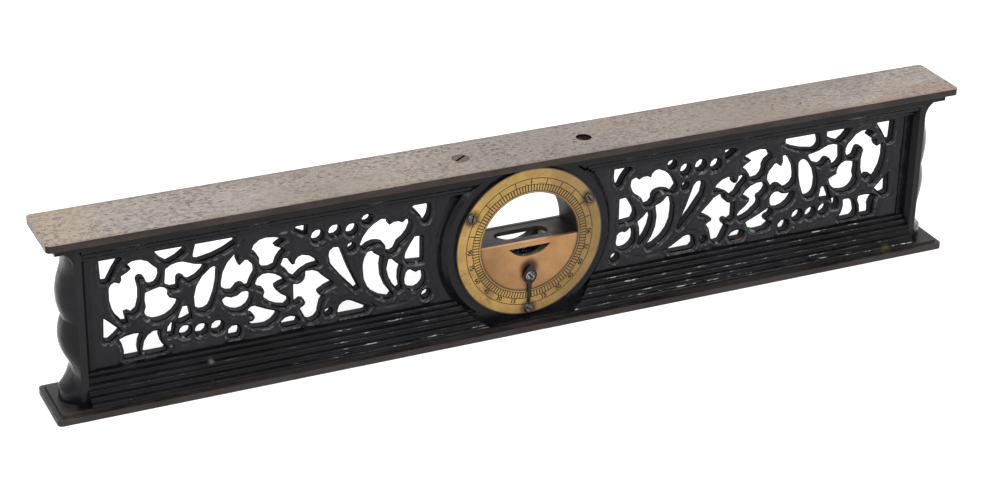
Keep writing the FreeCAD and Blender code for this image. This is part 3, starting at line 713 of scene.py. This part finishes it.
# Relief of the scrolls, its furrows and its lit shoulders, in millimetres
RELIEF_PITCH = 0.62
RELIEF_ROUND = 2.1
RELIEF_HEIGHT = 1.55
RELIEF_CROWN = 0.35
CROWN_REACH = 3.0
MARK_REACH = 0.5
EDGE_ROWS = (0.16, 0.45, 0.90)
EDGE_CLEARANCE = 0.12
GRID_CLEARANCE = 1.2
CELL_SIZE = 0.22
LINING_SKIN = 0.03
CREST_GAP = 1.5
CREST_WIDTH = 0.32
CREST_STEP = 0.35
FURROW_GAP = 2.9
FURROW_DEPTH = 0.38
FURROW_WIDTH = 0.50
GROOVE_DEPTH = 0.55
GROOVE_WIDTH = 0.55
RIM_SHADE_WIDTH = 0.8
RELIEF_INNER = 34.0
RELIEF_LOW = 17.0
RELIEF_HIGH = 72.2
# How much painted sheen lightens the faces, by side
PAINTED_SHEEN = {-1: 0.36, 1: 0.56}
# A knob and a curled groove that only the right panel has
KNOB = (194.0, 24.0)
KNOB_HEIGHT = 0.9
KNOB_WIDTH = 2.2
CURL_DEPTH = 0.8
CURL_WIDTH = 1.2
CURL = [(164, 33), (166.5, 30.2), (169, 27.4), (172, 25.0), (169, 27.4), (166.5, 30.2)]

# Small blisters in the casting, as (x, z), on the left panel and on the right one
BLISTERS = [(-186.5, 59), (-182, 51.8), (-176, 36.7), (-168.5, 64.2), (-168.5, 41.5),
            (-171.5, 47), (-160.5, 53.5), (-156, 37.6), (-154.5, 32.5), (-143, 43.3),
            (-185, 20.5), (-173.5, 27.5), (-166.5, 24.5), (-158.5, 23.3), (-151.5, 22.6),
            (-150, 24.1), (-137.5, 24.3), (-147, 20.4), (-135, 28.2), (-172.5, 21.5),
            (-101.5, 59.3), (-102.5, 57.9), (-93.5, 60.6), (-85.3, 59.1), (-77.5, 53.8),
            (-62, 52.5), (-53, 27.3), (-56, 26.2), (-96, 20.7), (-112.7, 21), (-125.5, 33),
            (-110.5, 31.3)]
RIGHT_BLISTERS = [(54.5, 27.5), (94, 59.8), (102, 59), (99.5, 57.8), (86, 59), (129, 57.8),
                  (144, 43.5), (142, 33.5), (154, 35), (138, 66.3), (174, 63), (179, 37),
                  (187, 19.2), (165.5, 23.2), (105, 19.8), (168, 64.5), (152, 22.8),
                  (61, 52), (78, 54), (113, 21), (126, 33), (148, 20.6)]
# Long ridges, as (x, z, direction in degrees, half length)
RIDGES = [(-180, 53.8, 20, 2.0), (-196, 32.5, 25, 1.8), (-118.5, 67.5, 4, 2.2),
          (-63, 48.3, 60, 1.6), (-54, 40.2, 72, 1.8), (-71, 25.3, 20, 1.8),
          (-99.8, 30.6, 35, 2.0), (-124.5, 25, 30, 1.8), (-182, 36.2, 0, 1.6)]
RIGHT_RIDGES = [(71, 26.8, -35, 2.4), (73, 53, -55, 1.8), (125, 22.7, -25, 2.0),
                (197, 33, -25, 1.6), (99, 31, -30, 1.6), (54.5, 40.2, -70, 1.6)]
# Grooves between leaves and rails, as runs of (x, z) drawn on the left panel
GROOVES = [[(-79, 22), (-72, 20.8), (-66, 20.7), (-60, 21.3), (-55, 23.2), (-51, 25.3),
            (-48.5, 24.5), (-47.3, 22.6)],
           [(-200.5, 58.5), (-197.5, 63), (-193, 66.6), (-188, 68)],
           [(-144, 67), (-139, 68.3), (-134, 68)],
           [(-79, 68), (-72, 67.7), (-66, 68), (-62, 67.2)],
           [(-100, 35), (-97, 34.2), (-94, 33.5)]]


def blister_height(flat, side):
    """Height of the blisters and ridges at each point of one panel."""
    height = np.zeros(len(flat))
    blisters = BLISTERS if side < 0 else RIGHT_BLISTERS
    ridges = RIDGES if side < 0 else RIGHT_RIDGES
    draw = random.Random(11 + side)
    for x, z, turn, reach in [(x, z, 0, 0.6) for x, z in blisters] + ridges:
        tall = draw.uniform(0.30, 0.48)
        wide = draw.uniform(0.50, 0.66)
        run = math.cos(math.radians(turn)), math.sin(math.radians(turn))
        gap = flat - (x, z)
        forward = gap @ np.array(run) / max(reach, wide)
        sideways = gap @ np.array((-run[1], run[0])) / wide
        height += tall * np.exp(-(forward ** 2 + sideways ** 2))
    return height


def groove_depth(flat, side):
    """Depth of the grooves at each point of one panel."""
    mirror = np.array((-side, 1.0))
    depth = np.zeros(len(flat))
    for run in GROOVES:
        line = [tuple(np.array(point) * mirror) for point in run]
        gap = edge_distance(flat, [line + line[-2:0:-1]])
        depth = np.maximum(depth, GROOVE_DEPTH * np.exp(-(gap / GROOVE_WIDTH) ** 2))
    return depth


def furrow_share(flat, gap):
    """1 along the middle of the furrow that sets leaves off from the stems round openings."""
    sway = 0.35 * np.sin(flat[:, 0] * 0.31 + flat[:, 1] * 0.17) + 0.2 * np.sin(flat[:, 1] * 0.53)
    strength = 0.65 + 0.35 * np.sin(flat[:, 0] * 0.21 - flat[:, 1] * 0.37)
    return strength * np.exp(-((gap - FURROW_GAP - sway) / FURROW_WIDTH) ** 2)


def relief_height(flat, gap, side):
    """How far each point of the scrollwork stands above the web."""
    reach = np.clip(gap / RELIEF_ROUND, 0, 1)
    rounded = np.sqrt(1 - (1 - reach) ** 2)
    crown = RELIEF_CROWN * np.clip((gap - RELIEF_ROUND) / CROWN_REACH, 0, 1)
    height = RELIEF_HEIGHT * (rounded + crown) - FURROW_DEPTH * furrow_share(flat, gap)
    marks = np.clip(gap / MARK_REACH, 0, 1)
    height += marks * (blister_height(flat, side) - groove_depth(flat, side))
    if side > 0:
        for depth, width, away in ((-KNOB_HEIGHT, KNOB_WIDTH, edge_distance(flat, [[KNOB]])),
                                   (CURL_DEPTH, CURL_WIDTH, edge_distance(flat, [CURL]))):
            height -= marks * depth * np.exp(-(away / width) ** 2)
    return np.maximum(height, 0.0)


def signed_area(ring):
    """Twice the area inside an outline, below 0 when it runs clockwise."""
    ahead = np.roll(ring, -1, 0)
    return (ring[:, 0] * ahead[:, 1] - ahead[:, 0] * ring[:, 1]).sum()


def unit_rows(rows, least=1e-6):
    """Rows divided by their length, or by least where they are shorter."""
    return rows / np.maximum(np.linalg.norm(rows, axis=1), least)[:, None]


def offset_points(loops, steps):
    """Points at a few distances outside each outline, so that the round edge has rows."""
    points = []
    for loop in loops:
        ring = np.array(loop)
        ahead = np.roll(ring, -1, 0) - np.roll(ring, 1, 0)
        out = unit_rows(np.stack([ahead[:, 1], -ahead[:, 0]], 1))
        area = signed_area(ring)
        points += [ring + out * math.copysign(step, area) for step in steps]
    return np.concatenate(points)


def relief_sheet(loops, side):
    """Flat sheet between the openings of one panel: its points as (x, z), its triangles."""
    low_x, high_x = sorted((side * RELIEF_INNER, side * (BORDER_INSIDE + 0.1)))
    rim = cut_up([(low_x, RELIEF_LOW), (high_x, RELIEF_LOW), (high_x, RELIEF_HIGH),
                  (low_x, RELIEF_HIGH)], RELIEF_PITCH)
    near = offset_points(loops, EDGE_ROWS)
    near = near[edge_distance(near, loops) > EDGE_CLEARANCE]
    grid_x, grid_z = np.meshgrid(
        np.arange(low_x + RELIEF_PITCH, high_x - 0.2, RELIEF_PITCH),
        np.arange(RELIEF_LOW + RELIEF_PITCH, RELIEF_HIGH - 0.2, RELIEF_PITCH))
    grid = np.stack([grid_x.ravel(), grid_z.ravel()], 1)
    grid = grid[edge_distance(grid, loops) > GRID_CLEARANCE]
    free = np.concatenate([near, grid])
    for loop in loops:
        free = free[~inside(free, loop)]
    cells = {}
    for point in free:
        cells.setdefault((round(point[0] / CELL_SIZE), round(point[1] / CELL_SIZE)), point)
    points = np.concatenate([np.array([p for loop in loops + [rim] for p in loop]),
                             np.array(list(cells.values()))])
    edges = []
    start = 0
    for loop in loops + [rim]:
        count = len(loop)
        edges += [(start + i, start + (i + 1) % count) for i in range(count)]
        start += count
    made = delaunay_2d_cdt([Vector(p) for p in points], edges, [], 0, 1e-5)
    flat = np.array([corner[:] for corner in made[0]])
    faces = np.array([face for face in made[2] if len(face) == 3])
    middle = flat[faces].mean(1)
    solid = np.hypot(middle[:, 0], middle[:, 1] - DIAL_MIDDLE) > SPOT_FACE_RADIUS - 1.0
    for loop in loops:
        solid &= ~inside(middle, loop)
    faces = faces[solid]
    used = np.unique(faces)
    back = np.full(len(flat), -1)
    back[used] = np.arange(len(used))
    return flat[used], back[faces]


def scroll_relief(side, hand):
    """Rounded stems and leaves raised on one panel, front and rear, and the painted-shade linings
    of its openings.
    """
    holes = panel_outlines(side)
    loops = [cut_up(loop, RELIEF_PITCH) for loop in holes]
    flat, faces = relief_sheet(loops, side)
    gap = edge_distance(flat, loops)
    height = relief_height(flat, gap, side)
    upward = (gap - edge_distance(flat + (0.0, CREST_STEP), loops)) / CREST_STEP
    shoulder = np.exp(-((gap - CREST_GAP) / CREST_WIDTH) ** 2)
    # The first number paints shade round the openings and in the furrows; the next two paint
    # highlights on blisters and on upward shoulders; the last paints sheen on the faces
    numbers = {"rim": np.maximum(np.clip(1 - gap / RIM_SHADE_WIDTH, 0, 1),
                                 0.9 * furrow_share(flat, gap)),
               "painted blister glint": np.clip(blister_height(flat, side) / 0.30 - 0.45, 0, 0.75),
               "crest": shoulder * np.clip(0.15 + 0.85 * upward, 0, 1),
               "painted sheen": np.full(len(flat), PAINTED_SHEEN[side])}
    for face_side, word in FACES:
        corners = np.stack([flat[:, 0], face_side * (HALF_WEB + height), flat[:, 1]], 1)
        a, b, c = (corners[faces[:, index]] for index in range(3))
        flip = np.cross(b - a, c - a)[:, 1] * face_side < 0
        turned = np.where(flip[:, None], faces[:, ::-1], faces)
        add_cast(f"{hand}_{word}_relief", new_mesh(corners, turned), numbers)
    line_openings(f"{hand}_opening_shade_linings", holes)


def line_openings(name, holes):
    """Thin dark lining of painted shade on the walls of the openings."""
    corners, faces = [], []
    for loop in holes:
        ring = np.array(loop)
        if signed_area(ring) < 0:
            ring = ring[::-1]
        before, after = ring - np.roll(ring, 1, 0), np.roll(ring, -1, 0) - ring
        along = unit_rows(before) + unit_rows(after)
        inward = np.stack([-along[:, 1], along[:, 0]], 1)
        ring = ring + LINING_SKIN * unit_rows(inward, 0.4)
        start, count = len(corners), len(ring)
        for depth in (-HALF_WEB, HALF_WEB):
            corners += [(x, depth, z) for x, z in ring]
        for index in range(count):
            ahead = (index + 1) % count
            faces.append((start + index, start + ahead, start + count + ahead,
                          start + count + index))
    add_cast(name, new_mesh(corners, faces, False), finish="painted_opening_shade")


# Cove between the dial boss and the scrollwork: lengths, half its arc in degrees, its painted sheen
BOSS_RADIUS = 43.5
COVE_REACH = 2.9
COVE_TOP = 6.75
COVE_FOOT = 3.15
COVE_ARC = 37.5
COVE_PAINTED_SHEEN = 0.35
COVE_STEPS = 60
COVE_SPLITS = 12
COVE_FLARE = 0.8
COVE_LAP = 0.12
# A bead near the cove's foot, placed and sized as shares of the way down
BEAD_HEIGHT = 0.22
BEAD_PLACE = 0.86
BEAD_WIDTH = 0.09

# Painted shade in the upright corners, in millimetres, with its start by side
SEAM_START = {-1: 209.9, 1: 211.8}
SEAM_END = 212.32
SEAM_LOW = 17.6
SEAM_HIGH = 71.8

# Mouldings and end columns, eased over the casting's sharp sections, in millimetres

# Half section of the foot moulding: out from the web, up from the foot's tier
FOOT_MOULDING = [(13.2, 0.0), (13.2, 1.6), (12.2, 2.2), (11.3, 2.6), (11.3, 4.2), (9.4, 5.0),
                 (9.4, 6.6), (7.9, 7.4), (7.9, 8.4), (5.8, 9.4), (5.8, 10.8), (3.8, 11.8),
                 (3.8, 12.8), (1.0, 13.6)]
# Half section of the moulding under the cap: out from the web, down from the cap block
CAP_MOULDING = [(10.0, 0.0), (10.0, 1.4), (7.6, 3.4), (7.6, 4.6), (5.4, 6.0), (5.4, 7.2),
                (3.6, 8.0), (1.0, 8.6)]
# Skin over both sections, rounding of their corners, and how they run along the casting
MOULDING_SKIN = 0.18
MOULDING_ROUND = 0.42
MOULDING_STATIONS = 70
MOULDING_END = 212.5
MOULDING_SWAY = 0.007
SECTION_LAP = 0.1

# End column: joints and arc middles as (out from its axis, share of the rise)
COLUMN_SECTION = [(9.4, 0.0), None, (9.0, 0.091), (5.6, 0.140), (2.9, 0.197), (3.7, 0.236),
                  (5.4, 0.285), (8.0, 0.425), (5.8, 0.540), (7.9, 0.667), (5.5, 0.820),
                  (4.4, 0.872), (4.4, 0.911), (5.6, 0.965), (9.4, 1.0)]
COLUMN_SINK = 1.3
COVE_RADIUS = 9.0
COLUMN_SKIN = 0.12
COLUMN_BLEND = 0.3
COLUMN_FULLNESS = 2.6
ARC_STEPS = 12
COLUMN_STEPS = 154
COLUMN_SPLITS = 14


def eased_section(points, turn):
    """Section moved out by the skin's thickness, with its corners rounded.

    Each point has a third number, 1 on a proud corner and 0 elsewhere."""
    points = [np.array(point, float) for point in points]
    normals = []
    for start, end in zip(points, points[1:]):
        run = (end - start) / np.linalg.norm(end - start)
        normals.append(turn * np.array((run[1], -run[0])))
    moved = [points[0] + MOULDING_SKIN * normals[0]]
    for point, before, after in zip(points[1:], normals, normals[1:]):
        moved.append(point + MOULDING_SKIN * (before + after) / (1 + before @ after))
    moved.append(points[-1] + MOULDING_SKIN * normals[-1])
    eased = [(*moved[0], 0.0)]
    for before, corner, after in zip(moved, moved[1:], moved[2:]):
        run_in, run_out = corner - before, after - corner
        start, end = (corner + run * min(MOULDING_ROUND / np.linalg.norm(run), 0.45)
                      for run in (-run_in, run_out))
        proud = turn * (run_in[0] * run_out[1] - run_in[1] * run_out[0]) > 0
        for share in (0.0, 0.33, 0.67, 1.0):
            point = ((1 - share) ** 2 * start + 2 * share * (1 - share) * corner
                     + share ** 2 * end)
            eased.append((*point, float(proud and 0.1 < share < 0.9)))
    return eased + [(*moved[-1], 0.0)]


def run_moulding(name, section, side, face_side, painted_glint, finish, draw):
    """Moulding from the round spot face about the dial to an end wall."""
    waves = [(draw.uniform(0.02, 0.10), draw.uniform(0, math.tau), draw.uniform(0, 3))
             for wave in range(5)]
    rows = []
    for station in range(MOULDING_STATIONS + 1):
        share = station / MOULDING_STATIONS
        row = []
        for out, z, proud in section:
            inner = math.sqrt(max(SPOT_FACE_RADIUS ** 2 - (z - DIAL_MIDDLE) ** 2, 1.0))
            x = inner + (MOULDING_END - inner) * share
            sway = sum(math.sin(x * pace + start + z * lean) for pace, start, lean in waves)
            row.append((side * x, face_side * (HALF_WEB + out + MOULDING_SWAY * sway), z))
        rows.append(row)
    edge = [painted_glint * proud for row in rows for out, z, proud in section]
    add_cast(name, grid_mesh(rows, (0, face_side, 0)), {"edge": edge}, finish)


def dress_mouldings():
    """Foot and cap mouldings on both sides of the dial, front and rear."""
    foot = eased_section([(out, FOOT_TOP + up) for out, up in FOOT_MOULDING], 1)
    foot[0] = (foot[0][0], foot[0][1] - SECTION_LAP, 0.0)
    cap = eased_section([(out, BLOCK_BOTTOM - down) for out, down in CAP_MOULDING], -1)
    cap[0] = (cap[0][0], cap[0][1] + SECTION_LAP, 0.0)
    draw = random.Random(5)
    for side, hand in HANDS:
        for face_side, word in FACES:
            # The foot moulding's proud corners carry painted glints, the cap's none
            for kind, section, painted_glint, finish in (("foot", foot, 1.0, "dull_japan"),
                                                 ("cap", cap, 0.0, "japanned_iron")):
                run_moulding(f"{hand}_{word}_{kind}_moulding", section, side, face_side,
                             painted_glint, finish, draw)


def boss_cove(name, side, face_side):
    """Soft cove from the dial boss's bevel down to the scrollwork beside it."""
    rows = []
    for step in range(COVE_STEPS + 1):
        turn = math.radians(-COVE_ARC + 2 * COVE_ARC * step / COVE_STEPS)
        row = []
        for share in np.linspace(0.0, 1.0, COVE_SPLITS + 1):
            fall = math.sin(math.pi / 2 * share)
            bead = BEAD_HEIGHT * math.exp(-((share - BEAD_PLACE) / BEAD_WIDTH) ** 2)
            spread = (1 - math.cos(math.pi / 2 * share)) ** COVE_FLARE
            radius = BOSS_RADIUS - COVE_LAP + COVE_REACH * spread
            out = COVE_TOP - (COVE_TOP - COVE_FOOT) * fall + bead
            row.append((side * radius * math.cos(turn), face_side * out,
                        DIAL_MIDDLE + radius * math.sin(turn)))
        rows.append(row)
    mesh = grid_mesh(rows, (side, face_side, 0))
    # The cove's faces carry painted sheen, like the scrollwork's faces
    add_cast(name, mesh, {"painted sheen": [COVE_PAINTED_SHEEN] * len(mesh.vertices)})


def add_block(work, low, high):
    """Box between two corners, added to a mesh in the making."""
    middle = [(a + b) / 2 * MM for a, b in zip(low, high)]
    size = [abs(b - a) * MM for a, b in zip(low, high)]
    place = Matrix.Translation(middle) @ Matrix.Diagonal((*size, 1.0))
    bmesh.ops.create_cube(work, size=1.0, matrix=place)


def dark_seams():
    """Dark strips of painted shade in the upright corners at both ends of each panel."""
    relief_face = HALF_WEB + RELIEF_HEIGHT + RELIEF_CROWN
    for side, hand in HANDS:
        work = bmesh.new()
        for face_side in (-1, 1):
            for x0, x1, out in ((SEAM_START[side], SEAM_END, BORDER_OUT),
                                (BORDER_INSIDE - 0.7, BORDER_INSIDE + 0.02, relief_face)):
                add_block(work, (side * x0, face_side * (out - 0.1), SEAM_LOW),
                          (side * x1, face_side * (out + 0.06), SEAM_HIGH))
        mesh = bpy.data.meshes.new("seams")
        work.to_mesh(mesh)
        work.free()
        add_cast(f"{hand}_panel_seam_shades", mesh, finish="painted_seam_shade")


def column_curve():
    """The column's radius at many heights, from its arcs."""
    rise = BLOCK_BOTTOM - FOOT_PLATE
    points = [part and (part[0], FOOT_PLATE + part[1] * rise) for part in COLUMN_SECTION]
    heights, radii = [points[0][1]], [points[0][0]]
    for index in range(0, len(points) - 2, 2):
        start, middle, end = points[index:index + 3]
        if middle is None:
            heights.append(end[1])
            radii.append(end[0])
            continue
        (ax, ay), (bx, by), (cx, cy) = start, middle, end
        cross = 2 * (ax * (by - cy) + bx * (cy - ay) + cx * (ay - by))
        sizes = [px * px + py * py for px, py in (start, middle, end)]
        ox = (sizes[0] * (by - cy) + sizes[1] * (cy - ay) + sizes[2] * (ay - by)) / cross
        oy = (sizes[0] * (cx - bx) + sizes[1] * (ax - cx) + sizes[2] * (bx - ax)) / cross
        radius = math.hypot(ax - ox, ay - oy)
        for step in range(1, ARC_STEPS + 1):
            z = ay + (cy - ay) * step / ARC_STEPS
            reach = math.sqrt(max(radius ** 2 - (z - oy) ** 2, 0.0))
            heights.append(z)
            radii.append(ox + math.copysign(reach, bx - ox))
    return heights, radii


def dress_end(name, side):
    """Lobed column that flows into the face of an end wall."""
    heights, radii = column_curve()
    spring = BLOCK_BOTTOM - COVE_RADIUS
    rows = []
    for step in range(COLUMN_STEPS + 1):
        z = FOOT_PLATE + (BLOCK_BOTTOM - FOOT_PLATE) * step / COLUMN_STEPS
        bulge = float(np.interp(z, heights, radii)) - COLUMN_SINK
        cove = COVE_RADIUS - math.sqrt(COVE_RADIUS ** 2 - max(z - spring, 0.0) ** 2)
        row = []
        for column in range(-COLUMN_SPLITS, COLUMN_SPLITS + 1):
            y = HALF_WALL * math.sin(math.pi / 2 * column / COLUMN_SPLITS)
            swell = bulge * (1 - abs(y / HALF_WALL) ** COLUMN_FULLNESS)
            # The larger of cove and swell, with a soft change between them
            out = COLUMN_SKIN + 0.5 * (cove + swell + math.hypot(cove - swell, COLUMN_BLEND))
            if abs(column) == COLUMN_SPLITS:
                out = cove - 0.05
            row.append((side * (WALL_OUTSIDE + out), y, z))
        rows.append(row)
    add_cast(name, grid_mesh(rows, (side, 0, 0)))


# Dial engraving

class GeometryTree(Tree):
    """Geometry Nodes tree with named inputs, which other nodes' inputs take by name."""

    def __init__(self, name, inputs):
        super().__init__(bpy.data.node_groups.new(name, "GeometryNodeTree"))
        face = self.tree.interface
        self.sockets = {title: face.new_socket(title, in_out="INPUT",
                                               socket_type=f"NodeSocket{kind}").identifier
                        for title, kind in inputs}
        face.new_socket("Geometry", in_out="OUTPUT", socket_type="NodeSocketGeometry")
        self.entry = self.add("NodeGroupInput")
        self.exit = self.tree.nodes.new("NodeGroupOutput")

    def feed(self, socket, value):
        """Link a socket, where a text names an input of the tree, or set a constant."""
        super().feed(socket, self.entry[value] if isinstance(value, str) else value)

    def close(self, geometry):
        """End in Realize Instances and Set Material."""
        real = self.add("GeometryNodeRealizeInstances", {"Geometry": geometry})[0]
        done = self.add("GeometryNodeSetMaterial", {"Geometry": real, "Material": "Material"})[0]
        self.tree.links.new(done, self.exit.inputs[0])

    def grow(self, **values):
        """Plain mesh that the tree makes from these inputs."""
        holder = bpy.data.objects.new("grown", bpy.data.meshes.new("grown"))
        bpy.context.scene.collection.objects.link(holder)
        modifier = holder.modifiers.new("nodes", "NODES")
        modifier.node_group = self.tree
        for title, value in values.items():
            modifier[self.sockets[title.replace("_", " ")]] = value
        state = bpy.context.evaluated_depsgraph_get()
        mesh = bpy.data.meshes.new_from_object(holder.evaluated_get(state))
        holder.modifiers.remove(modifier)
        bpy.data.objects.remove(holder)
        return mesh


def tick_tree():
    """Marks of one size at equal angles on a circle in the X-Z plane."""
    tree = GeometryTree("dial marks", [("Count", "Int"), ("First Angle", "Float"),
                                       ("Step Angle", "Float"), ("Inner Radius", "Float"),
                                       ("Length", "Float"), ("Width", "Float"),
                                       ("Depth", "Float"), ("Material", "Material")])
    index = tree.add("GeometryNodeInputIndex")[0]
    angle = tree.math("ADD", tree.math("MULTIPLY", index, "Step Angle"), "First Angle")
    reach = tree.math("ADD", tree.math("MULTIPLY", "Length", 0.5), "Inner Radius")
    place = tree.add("ShaderNodeCombineXYZ",
                     {0: tree.math("MULTIPLY", tree.math("COSINE", angle), reach),
                      2: tree.math("MULTIPLY", tree.math("SINE", angle), reach)})[0]
    turn = tree.add("ShaderNodeCombineXYZ", {1: tree.math("MULTIPLY", angle, -1.0)})[0]
    points = tree.add("GeometryNodePoints", {"Count": "Count", "Position": place})[0]
    size = tree.add("ShaderNodeCombineXYZ", {0: "Length", 1: "Depth", 2: "Width"})[0]
    mark = tree.add("GeometryNodeMeshCube", {"Size": size})[0]
    set_out = tree.add("GeometryNodeInstanceOnPoints",
                       {"Points": points, "Instance": mark, "Rotation": turn})[0]
    tree.close(set_out)
    return tree


def circle_tree():
    """Line round a circle in the X-Z plane."""
    tree = GeometryTree("dial circle", [("Radius", "Float"), ("Width", "Float"),
                                        ("Depth", "Float"), ("Material", "Material")])
    path = tree.add("GeometryNodeCurvePrimitiveCircle", {"Resolution": 160, "Radius": "Radius"})[0]
    upright = tree.add("GeometryNodeTransform",
                       {"Geometry": path, "Rotation": (math.pi / 2, 0, 0)})[0]
    section = tree.add("GeometryNodeCurvePrimitiveQuadrilateral",
                       {"Width": "Width", "Height": "Depth"})[0]
    line = tree.add("GeometryNodeCurveToMesh", {"Curve": upright, "Profile Curve": section})[0]
    tree.close(line)
    return tree


def joined(meshes, place):
    """One mesh from several, each moved by a matrix, its normals outward."""
    work = bmesh.new()
    for mesh in meshes:
        mesh.transform(place)
        work.from_mesh(mesh)
        bpy.data.meshes.remove(mesh)
    bmesh.ops.recalc_face_normals(work, faces=work.faces)
    result = bpy.data.meshes.new("joined")
    work.to_mesh(result)
    work.free()
    return result


# Marks, lines, circles and numbers of the dial: radii, sizes and depth in millimetres
TICK_INNER = 26.0
TICK_OUTER = 29.2
LINE_OUTER = 32.3
TICK_COUNT = 120
LINE_COUNT = 11
LINE_STEP = math.pi / 12
NUMBER_MIDDLE = 30.75
NUMBER_SIZE = 3.1
TICK_WIDTH = 0.50
LINE_WIDTH = 0.42
CIRCLE_WIDTH = 0.34
FILL_DEPTH = 0.08
FILL_PROUD = 0.02
NUMBER_SWELL = 0.10
# Degrees in words of the dial, at angles from the right-hand side
DIAL_NUMBERS = [("0", 270)] + [(str(15 * step), 270 + turn * 15 * step)
                               for step in range(1, 7) for turn in (-1, 1)]


def number_mesh(text, angle):
    """Flat number with its top towards the dial's middle, as a thin solid."""
    data = bpy.data.curves.new("number", "FONT")
    data.body = text
    data.size = NUMBER_SIZE * MM
    data.align_x = "CENTER"
    data.align_y = "CENTER"
    data.extrude = FILL_DEPTH * MM / 2
    data.offset = NUMBER_SWELL * MM
    data.resolution_u = 3
    holder = bpy.data.objects.new("number", data)
    bpy.context.scene.collection.objects.link(holder)
    state = bpy.context.evaluated_depsgraph_get()
    mesh = bpy.data.meshes.new_from_object(holder.evaluated_get(state))
    bpy.data.objects.remove(holder)
    turn = math.radians(angle)
    upright = Matrix.Rotation(math.pi / 2, 4, "X")
    spin = Matrix.Rotation(-(turn + math.pi / 2), 4, "Y")
    out = Matrix.Translation((NUMBER_MIDDLE * MM * math.cos(turn), 0,
                              NUMBER_MIDDLE * MM * math.sin(turn)))
    mesh.transform(out @ spin @ upright)
    return mesh


def engrave_dial():
    """Degree marks, circles and numbers on both rings."""
    marks, circles = tick_tree(), circle_tree()
    fill = finishes["engraving_fill"]
    for word, turn in (("front", 0.0), ("rear", math.pi)):
        depth = FILL_DEPTH / 2 - RING_FACE - FILL_PROUD
        place = (Matrix.Rotation(turn, 4, "Z")
                 @ Matrix.Translation((0, depth * MM, DIAL_MIDDLE * MM)))
        lines = [marks.grow(Count=count, First_Angle=first, Step_Angle=step,
                            Inner_Radius=inner * MM, Length=(outer - inner) * MM,
                            Width=width * MM, Depth=FILL_DEPTH * MM, Material=fill)
                 for count, first, step, inner, outer, width in (
                     (TICK_COUNT, 0.0, math.tau / TICK_COUNT, TICK_INNER, TICK_OUTER,
                      TICK_WIDTH),
                     (LINE_COUNT, LINE_STEP, LINE_STEP, TICK_OUTER, LINE_OUTER,
                      LINE_WIDTH))]
        lines += [circles.grow(Radius=radius * MM, Width=CIRCLE_WIDTH * MM,
                               Depth=FILL_DEPTH * MM, Material=fill)
                  for radius in (TICK_INNER, TICK_OUTER, LINE_OUTER)]
        numbers = [number_mesh(text, angle) for text, angle in DIAL_NUMBERS]
        for kind, meshes in (("graduations", lines), ("numbers", numbers)):
            add_piece(f"{word}_dial_{kind}", joined(meshes, place), fill)


# The scene

set_camera()
set_world(FILL_STRENGTH)
make_floor(FLOOR_GLOW)
for name, place, aim, size, watts in LIGHTS:
    add_light(name, place, aim, size, watts)

finishes = {"japanned_iron": japanned_iron("japanned iron", 0.18),
            "dull_japan": japanned_iron("dull japanned iron", 0.10),
            "painted_opening_shade": powder("soot in the openings", "painted opening shade", "pale painted opening shade", *PAINTED_SHADE_SETTINGS),
            "painted_seam_shade": powder("dirt in the seams", "painted_shade", "pale painted shade", *PAINTED_SHADE_SETTINGS),
            "dial_brass": brass("dial brass", ("brass", "dull brass"),
                                (70, 4, 0.6, (1, 1, 1), (2, 0, 0)), (800, 3, 0.6),
                                (0.40, 0.52), dial_layers),
            "plate_brass": brass("plate brass", ("warm brass", "dull warm brass"),
                                 (60, 4, 0.6, (1, 1, 1), (6, 0, 0)), (900, 3, 0.6),
                                 (0.36, 0.48), plate_layers),
            "dark_steel": plain_metal("dark steel", "dark steel", "pale dark steel",
                                      0.45)[0].material,
            "screw_steel": screw_steel(),
            "drum_iron": drum_iron(),
            "vial_glass": clear_glass(),
            "plaster": powder("plaster", "plaster", "pale plaster", *CHALKY),
            "engraving_fill": black_fill()}

for part in frame["record"]["subparts"]:
    mesh = nodes[part["node"]].data
    mesh.materials.clear()
    mesh.materials.append(finishes[part["material_slot"]])

for side, hand in HANDS:
    scroll_relief(side, hand)
    dress_end(f"{hand}_end_column", side)
    for face_side, word in FACES:
        boss_cove(f"{hand}_{word}_boss_cove", side, face_side)
dress_mouldings()
dark_seams()
engrave_dial()
